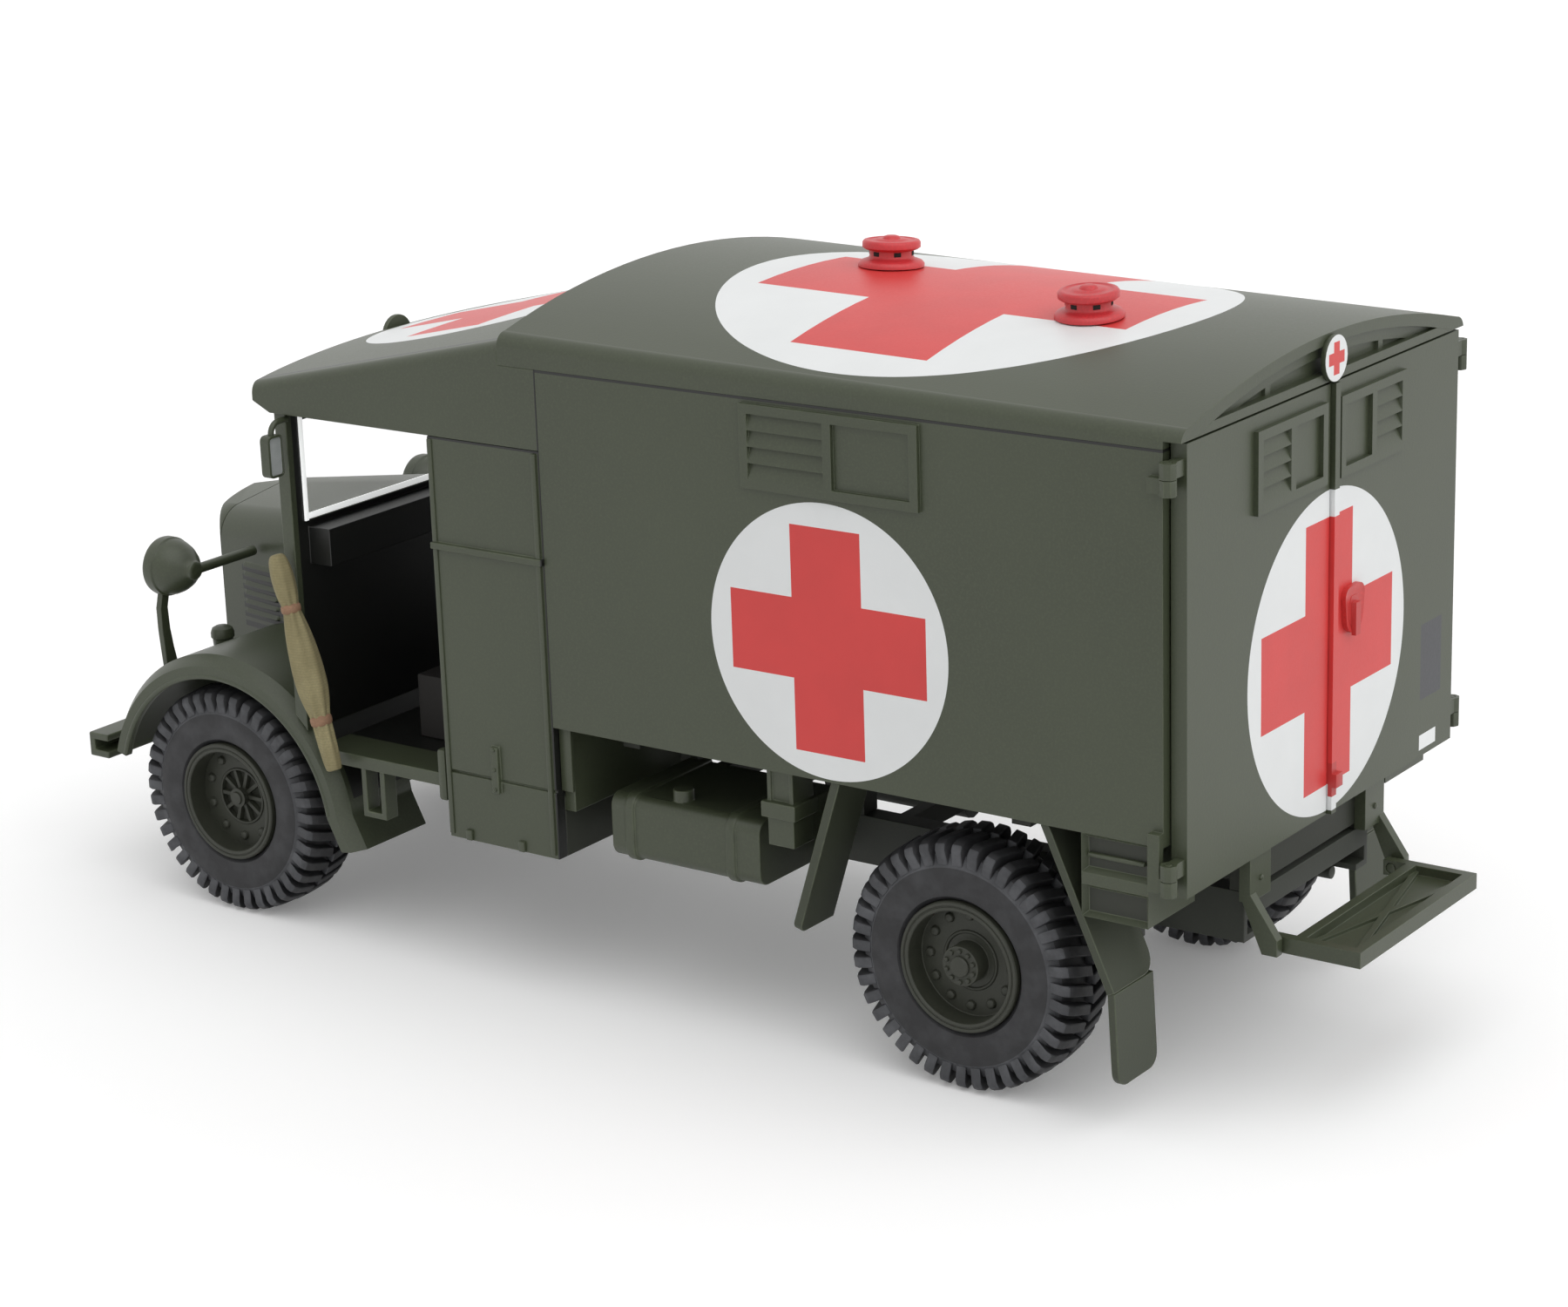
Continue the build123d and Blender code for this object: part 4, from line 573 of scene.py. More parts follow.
# %% One tyre
WALL = (
    (4.95, -2.35), (5.25, -2.7), (5.7, -2.78), (6.6, -2.84), (7.4, -2.78), (7.62, -2.62), (8.3, -2.3),
    (8.75, -1.5), (8.85, 0.0), (8.75, 1.5), (8.3, 2.3), (7.62, 2.62), (7.4, 2.78), (6.6, 2.84),
    (5.7, 2.78), (5.25, 2.7), (4.95, 2.35),
)
LUG = (
    (7.5, 2.7), (8.7, 2.87), (9.12, 2.7), (9.4, 2.2), (9.49, 1.2), (9.5, 0.1),
    (8.7, 0.1), (8.6, 1.4), (7.7, 2.4),
)
LUG_COUNT = 40
LUG_WIDTH = 0.8
LUG_LEAN = 0.3
LEAN_FROM_Y = 2.4
LUG_SOFT = 0.07
FLANK_R = 7.9
SHOULDER_R = (7.0, 7.6)


def add_lugs(bm, side):
    old = set(bm.verts)
    outline = bm.faces.new([bm.verts.new(Vector((-LUG_WIDTH / 2, side * y, -r)) * MM) for r, y in LUG])
    grown = bmesh.ops.extrude_face_region(bm, geom=[outline])["geom"]
    bmesh.ops.translate(bm, verts=verts_in(grown), vec=(LUG_WIDTH * MM, 0, 0))
    lug = since(bm, old)
    for vert in lug:
        vert.co.x += LUG_LEAN * max(0.0, LEAN_FROM_Y * MM - abs(vert.co.y))
    round_off(bm, edges_of(lug), LUG_SOFT, 1)
    lug = since(bm, old)
    if side < 0:
        half_pitch = Matrix.Rotation(math.pi / LUG_COUNT, 4, "Y")
        bmesh.ops.transform(bm, matrix=half_pitch, verts=lug)
    repeat_round(bm, lug, LUG_COUNT)


def dust_tyre(bm):
    """The second material on the shoulder ring and on the flanks of the lugs."""
    for face in bm.faces:
        face.normal_update()
        middle = face.calc_center_median()
        radius = math.hypot(middle.x, middle.z) / MM
        flank = radius > FLANK_R and abs(face.normal.y) > 0.6
        face.material_index = 1 if flank or SHOULDER_R[0] < radius < SHOULDER_R[1] else 0


WHEELS = [(end, side) for end in ("front", "rear") for side in ("left", "right")]
wheel_centres = {}
for end, side in WHEELS:
    low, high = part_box(f"tyre_{end}_{side}")
    wheel_centres[end, side] = (Vector(low) + Vector(high)) / 2
    bm = bmesh.new()
    spin_profile(bm, WALL, 96)
    add_lugs(bm, 1)
    add_lugs(bm, -1)
    dust_tyre(bm)
    move_all(bm, Matrix.Translation(wheel_centres[end, side]))
    name = f"tyre_{end}_{side}"
    tyre = add_piece(
        f"{name}_lugged", bm, f"wheel_{end}_{side}", "tyre", tyre_paint, lug_paint, stands_for=[name]
    )
print("tyre faces", len(tyre.data.polygons))

# %% [markdown]
# ## Rim beads, wheel bolts and hubs
# Each wheel is a deep steel disc with a rolled edge, a ring of round bolt heads, and a hub. The edge is
# two small beads spun about the axle. A bolt head is a short cone with a bevelled top, made once and spun
# with duplicates. The rear hub has a flange with a ring of studs round a flat cap.

# %% Beads, bolts and hubs
def ring_of(bm, count, ring_r, foot_y, radius, height):
    """Round heads in a ring about the axle, which stand on a height along it."""
    old = set(bm.verts)
    outwards = Matrix.Rotation(-math.pi / 2, 4, "X")
    spot = Matrix.Translation(Vector((0, foot_y + height / 2, ring_r)) * MM) @ outwards
    wide, narrow = radius * MM, 0.82 * radius * MM
    bmesh.ops.create_cone(
        bm, cap_ends=True, segments=12, radius1=wide, radius2=narrow, depth=height * MM, matrix=spot
    )
    head = since(bm, old)
    top = max(vert.co.y for vert in head) - 0.01 * MM
    rim = [edge for edge in edges_of(head) if all(vert.co.y > top for vert in edge.verts)]
    round_off(bm, rim, 0.25 * radius, 2)
    repeat_round(bm, since(bm, old), count)


def bead(radius, along, thick):
    points = [2 * math.pi * i / 10 for i in range(10)]
    return [(radius + thick * math.cos(a), along + thick * math.sin(a)) for a in points]


LIP_Y, DISC_Y, HUB_Y = 2.8, 1.1, 2.55
FRONT_CAP = ((0.0, 1.5), (0.8, 1.5), (0.8, 1.66), (0.55, 1.7), (0.5, 1.86), (0.0, 1.9))
REAR_CAP = ((0.0, 2.5), (0.78, 2.5), (0.78, 2.68), (0.7, 2.76), (0.0, 2.78))
for end, side in WHEELS:
    bm = bmesh.new()
    for radius, thick in ((4.72, 0.16), (4.36, 0.17)):
        spin_profile(bm, bead(radius, LIP_Y - 0.05, thick), 64)
    ring_of(bm, 10 if end == "front" else 12, 3.4, DISC_Y - 0.02, 0.4, 0.3)
    if end == "front":
        spin_profile(bm, bead(2.3, DISC_Y, 0.12), 48)
        spin_profile(bm, FRONT_CAP, 32, closed=False)
    else:
        spin_profile(bm, bead(2.15, DISC_Y, 0.14), 48)
        ring_of(bm, 10, 1.16, HUB_Y - 0.02, 0.2, 0.22)
        spin_profile(bm, REAR_CAP, 32, closed=False)
    if side == "right":
        move_all(bm, Matrix.Rotation(math.pi, 4, "Z"))
    move_all(bm, Matrix.Translation(wheel_centres[end, side]))
    bolts = add_piece(f"wheel_bolts_{end}_{side}", bm, f"wheel_{end}_{side}", "wheel_green", wheel_paint)
print("bolt faces on a rear wheel", len(bolts.data.polygons))

# %% [markdown]
# ## Roof ventilators
# Two red ventilators stand on the roof: a flared foot, a narrow neck with small openings, and a
# ringed cap with a knob. Each opening is a small near-black block on the neck, painted shade for the dark
# inside of the hole. One profile spun about the upright axis gives all the rings at once. They lean
# with the roof's curve, each to its own side, so each is turned before it is put in place.

# %% Ventilators
VENT_PROFILE = (
    (0.0, 0.0), (2.5, 0.0), (2.5, 0.22), (2.32, 0.42), (1.95, 0.55), (1.75, 0.62), (1.65, 0.8), (1.65, 1.2),
    (2.0, 1.3), (2.2, 1.45), (2.2, 1.8), (2.08, 1.96), (1.8, 2.0), (1.7, 1.93), (1.25, 1.98), (1.15, 2.04),
    (0.7, 2.06), (0.58, 2.22), (0.38, 2.29), (0.0, 2.29),
)
VENT_SPOTS = ((-10.95, -4.0, 54.12), (-33.05, 4.0, 53.75))
LEAN = 0.0536
GAP_SIZE = (0.26, 0.55, 0.34)
# Painted shade: near-black blocks stand for the dark inside of the openings.
opening_painted_shade = painted("opening_painted_shade_black", SHADOW_BLACK, rough=0.8)[0]
vent_bm, gap_bm = bmesh.new(), bmesh.new()
for x, y, z in VENT_SPOTS:
    spot = Matrix.Translation(Vector((x, y, z)) * MM) @ Matrix.Rotation(-LEAN * y / abs(y), 4, "X")
    one = bmesh.new()
    spin_profile(one, VENT_PROFILE, 48, axis=(0, 0, 1), closed=False)
    move_all(one, spot)
    join(vent_bm, one)
    for i in range(6):
        turn = Matrix.Rotation(math.pi * i / 3 + 0.35, 4, "Z")
        slot = spot @ turn @ Matrix.Translation(Vector((1.55, 0, 1.0)) * MM)
        bmesh.ops.create_cube(gap_bm, size=MM, matrix=slot @ Matrix.Diagonal((*GAP_SIZE, 1)))
round_off(gap_bm, list(gap_bm.edges), 0.05, 2)
old_vents = ["roof_ventilators"]
vents = add_piece(
    "ventilators_ringed", vent_bm, "truck", "vent_red", vent_paint, stands_for=old_vents, sharp=50.0
)
add_piece("ventilator_openings", gap_bm, "truck", "vent_red", opening_painted_shade)
print("ventilator faces", len(vents.data.polygons))

# %% [markdown]
# ## Rolled canvas side screens
# A canvas side screen is rolled up and tied beside each doorway: slim at the top, fullest below the
# middle, pulled in hard by two ties, and cut square at the foot. The roll is made the way cloth is
# rolled: a ring is extruded along the roll, and each new ring is scaled to the girth that the ties leave
# there. Shallow folds run into each tie. Cloth simulation would loosen so tight a roll, so the folds are
# shaped from listed depths, and the weave is in the material.

# %% The canvas
def canvas_cloth():
    material, start, shader, coat = painted("khaki_canvas", colour("938A66"), rough=0.78, grain=0.5)
    stain = contrast(noise(start, 260.0), 0.35, 0.75)
    coat = stain.mix(coat, colour("7A7150"))
    place = start.node("ShaderNodeTexCoord", {}, {}, out="Object")
    bands = {"wave_type": "BANDS", "bands_direction": "Z"}
    weave = start.node("ShaderNodeTexWave", bands, {"Vector": place, "Scale": 1500.0})
    coat = (weave * 0.18).mix(coat, colour("645C42"))
    start.tree.links.new(coat.socket, shader.inputs["Base Color"])
    return material


canvas = canvas_cloth()
tie_cloth = painted("brown_tie", colour("8C6C54"), worn=0.2, rough=0.75)[0]
ROLL_TOP = Vector((30.05, 21.66, 32.4))
ROLL_LOW = Vector((25.45, 21.66, 15.4))
# Girth along the roll: share of its length from the top, radius, depth of the folds
GIRTH = (
    (0.0, 0.42, 0.0), (0.012, 0.66, 0.02), (0.05, 0.84, 0.02), (0.12, 0.93, 0.03), (0.19, 0.84, 0.06),
    (0.225, 0.66, 0.08), (0.25, 0.62, 0.08), (0.275, 0.68, 0.08), (0.33, 0.9, 0.07), (0.4, 1.1, 0.05),
    (0.49, 1.24, 0.04), (0.58, 1.27, 0.05), (0.65, 1.16, 0.06), (0.705, 0.93, 0.08), (0.74, 0.76, 0.09),
    (0.765, 0.7, 0.09), (0.795, 0.74, 0.08), (0.87, 0.74, 0.05), (0.95, 0.7, 0.03), (1.0, 0.62, 0.02),
)
FOLDS = 7
# Ties: share of the length, radius, half width
TIES = ((0.25, 0.66, 0.36), (0.765, 0.74, 0.4))


def girth_ring(verts, radius, fold, twist):
    for vert in verts:
        angle = math.atan2(vert.co.y, vert.co.x)
        size = radius * MM + fold * MM * math.cos(FOLDS * angle + twist)
        flat = Vector((math.cos(angle), math.sin(angle), 0)) * size
        vert.co = (flat.x, flat.y, vert.co.z)


def roll_up(bm):
    length = (ROLL_TOP - ROLL_LOW).length
    made = bmesh.ops.create_circle(bm, cap_ends=True, radius=MM, segments=42)
    ring = made["verts"]
    girth_ring(ring, *GIRTH[0][1:], 0.0)
    edges = edges_of(ring)
    for (before, *_), (share, radius, fold) in zip(GIRTH, GIRTH[1:]):
        grown = bmesh.ops.extrude_edge_only(bm, edges=edges)["geom"]
        ring, edges = verts_in(grown), edges_in(grown)
        bmesh.ops.translate(bm, verts=ring, vec=(0, 0, -(share - before) * length * MM))
        girth_ring(ring, radius, fold, 5.0 * share)
    end = bmesh.ops.contextual_create(bm, geom=edges)["faces"]
    bmesh.ops.inset_region(bm, faces=end, thickness=0.2 * MM, depth=-0.12 * MM)


def tie_round(bm, share, radius, width):
    length = (ROLL_TOP - ROLL_LOW).length
    crown = [(radius + 0.12, -width * 0.6), (radius + 0.14, 0.0), (radius + 0.12, width * 0.6)]
    old = set(bm.verts)
    spin_profile(bm, [(radius, -width), *crown, (radius, width), (radius - 0.2, 0.0)], 36, axis=(0, 0, 1))
    bmesh.ops.translate(bm, verts=since(bm, old), vec=(0, 0, -share * length * MM))


lean = (ROLL_TOP - ROLL_LOW).to_track_quat("Z", "Y").to_matrix().to_4x4()
for side, sign in (("left", 1), ("right", -1)):
    place = Matrix.Diagonal((1, sign, 1, 1)) @ Matrix.Translation(ROLL_TOP * MM) @ lean
    bm = bmesh.new()
    roll_up(bm)
    move_all(bm, place)
    stands_for = ["rolled_screens"] if side == "left" else []
    roll = add_piece(f"canvas_roll_{side}", bm, "truck", "canvas", canvas, stands_for=stands_for)
    soft = roll.modifiers.new("soft_folds", "SUBSURF")
    soft.levels = soft.render_levels = 1
    bm = bmesh.new()
    for tie in TIES:
        tie_round(bm, *tie)
    move_all(bm, place)
    add_piece(f"canvas_ties_{side}", bm, "truck", "canvas", tie_cloth)
print("roll length in mm", round((ROLL_TOP - ROLL_LOW).length, 1))

# %% [markdown]
# ## Headlamps
# Each headlamp is a deep smooth bowl with a turned rim, a short stay from its back to the bonnet, and a
# flat arm that curves down to the wing. The bowl is one profile spun about the lamp's axis, so its curve
# is smooth where the frame has flat facets. The arm is a strip that starts as one face and is extruded in
# a few leaning steps.

# %% Headlamps
BOWL = (
    (0.0, -4.1), (0.55, -4.08), (0.75, -3.95), (0.8, -3.7), (1.1, -3.4), (1.6, -2.95), (2.0, -2.35),
    (2.25, -1.75), (2.32, -1.3), (2.44, -1.22), (2.45, -0.5), (2.36, -0.2), (2.15, -0.08), (2.1, -0.3),
    (0.0, -0.35),
)
LAMP = Vector((48.65, 16.0, 27.7))
# The arm from the rim to the wing: height, how far out, half width
ARM = ((25.7, 0.7, 0.42), (24.4, 1.05, 0.42), (22.6, 1.0, 0.45), (20.9, 0.8, 0.52), (19.3, 0.55, 0.62))
ARM_BACK, ARM_HALF_T = 0.75, 0.28
STAY, STAY_R, STAY_L = Vector((45.0, 12.4, 27.7)), 0.42, 7.0


def lamp_arm(bm):
    made = bmesh.ops.create_grid(bm, x_segments=1, y_segments=1, size=0.5 * MM)
    verts = made["verts"]
    height, out, half = ARM[0]
    for vert in verts:
        x = LAMP.x - ARM_BACK + math.copysign(ARM_HALF_T, vert.co.x)
        y = LAMP.y + out + math.copysign(half, vert.co.y)
        vert.co = Vector((x, y, height)) * MM
    faces = faces_of(verts)
    for (z0, out0, half0), (z1, out1, half1) in zip(ARM, ARM[1:]):
        grown = bmesh.ops.extrude_face_region(bm, geom=faces)["geom"]
        ring, faces = verts_in(grown), faces_in(grown)
        middle = Vector((LAMP.x - ARM_BACK, LAMP.y + out0, z0)) * MM
        bmesh.ops.scale(bm, verts=ring, vec=(1, half1 / half0, 1), space=Matrix.Translation(-middle))
        bmesh.ops.translate(bm, verts=ring, vec=Vector((0, out1 - out0, z1 - z0)) * MM)


for side, sign in (("left", 1), ("right", -1)):
    bm = bmesh.new()
    spin_profile(bm, BOWL, 56, axis=(1, 0, 0), closed=False)
    bmesh.ops.translate(bm, verts=bm.verts, vec=LAMP * MM)
    lamp_arm(bm)
    stay = Matrix.Translation(STAY * MM) @ Matrix.Rotation(math.pi / 2, 4, "X")
    thick = STAY_R * MM
    bmesh.ops.create_cone(
        bm, cap_ends=True, segments=16, radius1=thick, radius2=thick, depth=STAY_L * MM, matrix=stay
    )
    move_all(bm, Matrix.Diagonal((1, sign, 1, 1)))
    stands_for = ["headlamps"] if side == "left" else []
    lamp = add_piece(f"headlamp_{side}", bm, "truck", "body_green", body_paint, stands_for=stands_for)
    soft_edges(lamp, 0.06, edge_slot=0)
print("lamp faces", len(lamp.data.polygons))

# %% [markdown]
# ## Mirrors
# Each mirror is a rounded frame on a bent tube that comes out from the top of the windscreen post and
# turns down. The tube is a ring of points that is pushed straight out, swung round a quarter turn by
# spin, and pushed down. The frame is a block with its four corners bevelled round, and its rear face
# is inset twice to make the rim and the glass.

# %% Mirrors
mirror_grey, start, shader = new_finish("mirror_grey")
tone = contrast(noise(start, 500.0), 0.3, 0.7).mix(colour("959A98"), colour("A6AAA9"))
start.tree.links.new(tone.socket, shader.inputs["Base Color"])
start.tree.links.new((noise(start, 900.0) * 0.1 + 0.25).socket, shader.inputs["Roughness"])
TUBE_R, BEND_R = 0.24, 0.9
POST_Y, TUBE_Z = 20.2, 42.95
MIRROR = Vector((29.3, 22.05, 40.4))
MIRROR_SIZE = (0.85, 1.65, 3.3)


def push(bm, edges, vec):
    """Extrudes a ring of edges along a vector in millimetres, and gives the new ring."""
    grown = bmesh.ops.extrude_edge_only(bm, edges=edges)["geom"]
    bmesh.ops.translate(bm, verts=verts_in(grown), vec=Vector(vec) * MM)
    return edges_in(grown)


def mirror_tube(bm):
    quarter = math.pi / 2
    along = Matrix.Translation(Vector((MIRROR.x, POST_Y, TUBE_Z)) * MM) @ Matrix.Rotation(quarter, 4, "X")
    ring = bmesh.ops.create_circle(bm, cap_ends=False, radius=TUBE_R * MM, segments=16, matrix=along)["verts"]
    bend_y = MIRROR.y - BEND_R
    edges = push(bm, edges_of(ring), (0, bend_y - POST_Y, 0))
    cent = Vector((MIRROR.x, bend_y, TUBE_Z - BEND_R)) * MM
    turned = bmesh.ops.spin(bm, geom=edges, cent=cent, axis=(1, 0, 0), angle=-quarter, steps=8)["geom_last"]
    push(bm, edges_in(turned), (0, 0, -0.3))


def mirror_frame(bm):
    old = set(bm.verts)
    spot = Matrix.Translation(MIRROR * MM) @ Matrix.Diagonal((*MIRROR_SIZE, 1))
    block = bmesh.ops.create_cube(bm, size=MM, matrix=spot)["verts"]
    level = [edge for edge in edges_of(block) if abs(edge.verts[0].co.x - edge.verts[1].co.x) > 0.5 * MM]
    round_off(bm, level, 0.42, 5)
    faces = faces_of(since(bm, old))
    for face in faces:
        face.normal_update()
    rear = [face for face in faces if face.normal.x < -0.9]
    bmesh.ops.inset_region(bm, faces=rear, thickness=0.16 * MM, depth=0.05 * MM)
    bmesh.ops.inset_region(bm, faces=rear, thickness=0.03 * MM, depth=-0.12 * MM)
    for face in rear:
        face.material_index = 1


for side, sign in (("left", 1), ("right", -1)):
    bm = bmesh.new()
    mirror_tube(bm)
    mirror_frame(bm)
    move_all(bm, Matrix.Diagonal((1, sign, 1, 1)))
    stands_for = ["mirrors"] if side == "left" else []
    paints = (body_paint, mirror_grey)
    mirror = add_piece(f"mirror_{side}", bm, "truck", "body_green", *paints, stands_for=stands_for)
print("mirror faces", len(mirror.data.polygons))

# %% [markdown]
# ## Windscreen strips
# The clear panes are set into a ledge, and their thick lower and outer edges gather light and show as
# white strips from behind. Each strip is a bar with bevelled edges that lies on the pane's rear face. Its
# pale finish, which glows a little, is painted light for that gathered light.

# %% Bars with bevelled edges
def add_block(bm, x, y, z):
    """A block between limits in millimetres."""
    spans = [high - low for low, high in (x, y, z)]
    middle = Vector([(low + high) / 2 for low, high in (x, y, z)])
    spot = Matrix.Translation(middle * MM) @ Matrix.Diagonal((*spans, 1))
    return bmesh.ops.create_cube(bm, size=MM, matrix=spot)["verts"]


def add_bar(bm, x, y, z, round_by=0.05):
    """A block with its edges rounded."""
    round_off(bm, edges_of(add_block(bm, x, y, z)), round_by, 2)


def both_sides(bm):
    """Adds a copy on the other side of the model's middle plane."""
    twin = bmesh.ops.duplicate(bm, geom=list(bm.verts) + list(bm.edges) + list(bm.faces))["geom"]
    bmesh.ops.scale(bm, verts=verts_in(twin), vec=(1, -1, 1))


PANE_BACK = (29.5, 29.72)
POST_FACE = (29.2, 29.4)
bm = bmesh.new()
add_bar(bm, PANE_BACK, (0.5, 18.6), (34.5, 34.95))
add_bar(bm, POST_FACE, (18.55, 18.95), (34.5, 43.3))
both_sides(bm)
strips = add_piece("windscreen_strips", bm, "truck", "clear", pane_edge_glow)
print("windscreen strip faces", len(strips.data.polygons))

# %% [markdown]
# ## Tool boxes
# Behind each rear wheel hangs a box of framed panels, one above the other with a band between. The block
# is cut by two planes at the band, and the upper and the lower face are inset one by one, which leaves
# the frame standing. A thin slat crosses the upper panel. The sunken panels wear a dark green, which is
# painted shade.

# %% Tool boxes
low, high = [Vector(corner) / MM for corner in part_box("tool_boxes")]
BOX_X, BOX_Y, BOX_Z = (low.x, high.x), (14.4, high.y), (low.z, high.z)
BAND_Z = (18.55, 19.4)
FRAME_W, PANEL_D = 0.46, 0.5
bm = bmesh.new()
add_block(bm, BOX_X, BOX_Y, BOX_Z)
for z in BAND_Z:
    geom = list(bm.verts) + list(bm.edges) + list(bm.faces)
    bmesh.ops.bisect_plane(bm, geom=geom, dist=1e-7, plane_co=(0, 0, z * MM), plane_no=(0, 0, 1))
bm.normal_update()
front = [face for face in bm.faces if face.normal.y > 0.9]
outer = [face for face in front if not BAND_Z[0] < face.calc_center_median().z / MM < BAND_Z[1]]
bmesh.ops.inset_individual(bm, faces=outer, thickness=FRAME_W * MM, depth=-PANEL_D * MM)
# The sunken panels take the third paint, a dark green of painted shade.
for face in outer:
    face.material_index = 2
add_bar(bm, (BOX_X[0] + 0.4, BOX_X[1] - 0.4), (20.2, 20.6), (20.5, 20.8), 0.04)
both_sides(bm)
paints = (body_paint, body_edge, shade_paint)
tool_boxes = add_piece("tool_boxes_framed", bm, "truck", "body_green", *paints, stands_for=["tool_boxes"])
soft_edges(tool_boxes, 0.06)
print("tool box faces", len(tool_boxes.data.polygons))

# %% [markdown]
# ## Mud flaps
# Each rear wheel has a sloping plate behind it with a raised border and one wide rounded corner, and a
# hanging flap with rounded lower corners. A plain plate slopes ahead of the wheel. Each plate starts as
# one face. Its corner vertices are bevelled round, the face is extruded to its thickness, and an inset
# leaves the border standing.

# %% Mud flaps
def add_plate(bm, corners, rounds, push_by, border=0.0):
    """A plate from four corners in millimetres: rounds is a radius by corner, push_by its thickness."""
    old = set(bm.verts)
    verts = [bm.verts.new(Vector(corner) * MM) for corner in corners]
    bm.faces.new(verts)
    for corner, radius in rounds.items():
        round_off(bm, [verts[corner]], radius, 6, affect="VERTICES")
    grown = bmesh.ops.extrude_face_region(bm, geom=faces_of(since(bm, old)))["geom"]
    bmesh.ops.translate(bm, verts=verts_in(grown), vec=Vector(push_by) * MM)
    if border:
        outer = faces_in(grown)
        bm.normal_update()
        bmesh.ops.inset_region(bm, faces=outer, thickness=border * MM)
        field = [vert for face in outer for vert in face.verts]
        bmesh.ops.translate(bm, verts=field, vec=Vector(push_by) * -0.2 * MM)


FLAP_OUT_Y, FLAP_IN_Y, BEHIND_IN_Y = 20.55, 16.2, 14.85
SLOPE_TOP, SLOPE_FOOT = (-38.75, 22.1), (-43.95, 10.6)
HANG_TOP, HANG_FOOT = (-43.9, 10.75), (-44.25, 3.85)
AHEAD_TOP, AHEAD_FOOT = (-22.1, 22.1), (-18.2, 10.0)


def strip_corners(top, foot, out_y, in_y):
    ends = ((top, out_y), (foot, out_y), (foot, in_y), (top, in_y))
    return [(x, y, z) for (x, z), y in ends]


bm = bmesh.new()
slope = strip_corners(SLOPE_TOP, SLOPE_FOOT, FLAP_OUT_Y, BEHIND_IN_Y)
hang = strip_corners(HANG_TOP, HANG_FOOT, FLAP_OUT_Y - 0.1, BEHIND_IN_Y + 0.3)
ahead = strip_corners(AHEAD_TOP, AHEAD_FOOT, FLAP_OUT_Y, FLAP_IN_Y)
add_plate(bm, slope, {2: 1.5}, (-0.6, 0, 0.25), 0.5)
add_plate(bm, hang, {1: 1.1, 2: 1.1}, (-0.6, 0, 0))
add_plate(bm, ahead, {1: 0.8}, (0.7, 0, 0.2), 0.45)
both_sides(bm)
# The flaps wear a darker green than the body, which is painted shade.
flap_painted_shade = painted("flap_green_painted_shade", shade(GREEN, 0.72), rough=0.55)[0]
paints = (flap_painted_shade, body_edge)
flaps = add_piece("mud_flaps_bordered", bm, "truck", "body_green", *paints, stands_for=["mud_flaps"])
soft_edges(flaps, 0.08)
print("mud flap faces", len(flaps.data.polygons))

# %% [markdown]
# ## The door's handle plate
# The right rear door has a red plate with rounded ends under its handle. It is a plate like the flaps,
# with all four corners bevelled and a raised border, and it rides the door.

# %% The handle plate
PLATE_X = -49.9
PLATE = [(PLATE_X, y, z) for y, z in ((-4.8, 34.8), (-1.7, 34.8), (-2.1, 31.3), (-4.4, 31.3))]
handle_red = painted("handle_red_paint", shade(RED, 0.85))[0]
bm = bmesh.new()
add_plate(bm, PLATE, {0: 0.9, 1: 0.9, 2: 1.1, 3: 1.1}, (-0.4, 0, 0), 0.4)
plate = add_piece("handle_plate", bm, "door_right", "vent_red", handle_red)
print("handle plate faces", len(plate.data.polygons))

# %% [markdown]
# ## Wing beads and side lamps
# A rolled bead stiffens the edge of each wing's arch, and a small round lamp stands on its crown. The
# bead is a circle that is spun part of a turn about the wing's centre. The lamp is a turned cap over the
# frame's plain stalk.

# %% Wing beads and side lamps
ARCH = Vector((39.35, 20.05, 8.9))
ARCH_R, BEAD_R = 11.55, 0.24
ARCH_FROM, ARCH_TO = math.radians(17), math.radians(171)
SIDE_LAMP = Vector((45.65, 12.6, 0.0))
CAP = (
    (0.0, 20.3), (0.8, 20.3), (0.86, 21.0), (0.98, 21.1), (0.98, 21.5), (0.85, 21.85), (0.5, 22.04),
    (0.0, 22.08),
)
bm = bmesh.new()
outwards = Vector((math.cos(ARCH_FROM), 0, math.sin(ARCH_FROM)))
spot = Matrix.Translation((ARCH + ARCH_R * outwards) * MM) @ Matrix.Rotation(-ARCH_FROM, 4, "Y")
ring = bmesh.ops.create_circle(bm, cap_ends=True, radius=BEAD_R * MM, segments=10, matrix=spot)["verts"]
bmesh.ops.spin(bm, geom=faces_of(ring), cent=ARCH * MM, axis=(0, 1, 0), angle=ARCH_FROM - ARCH_TO, steps=48)
lamp_bm = bmesh.new()
spin_profile(lamp_bm, CAP, 24, axis=(0, 0, 1), closed=False)
move_all(lamp_bm, Matrix.Translation(SIDE_LAMP * MM))
join(bm, lamp_bm)
both_sides(bm)
beads = add_piece("wing_beads_and_lamps", bm, "truck", "body_green", body_paint)
print("wing bead faces", len(beads.data.polygons))

# %% [markdown]
# ## Fittings on the side panels
# Small parts give the model its scale: a bead down each joint, two catches under the locker lid, a round
# stop on the sill, a bracket behind the panel, and bolts on the strap hinge and the step's hangers. They
# are bars and short cones in a few loops, joined in one mesh for the whole truck.

# %% Beads, catches and bolts
def add_bolt(bm, spot, axis, radius, height):
    """A round head with a soft top on a face that looks along axis."""
    turn = Vector(axis).to_track_quat("Z", "Y").to_matrix().to_4x4()
    dome = [(0.0, height), (0.5 * radius, height), (0.85 * radius, 0.7 * height)]
    head = bmesh.new()
    spin_profile(head, [*dome, (radius, 0.0), (0.0, 0.0)], 14, axis=(0, 0, 1), closed=False)
    move_all(head, Matrix.Translation(Vector(spot) * MM) @ turn)
    join(bm, head)


FACE_Y = 20.8
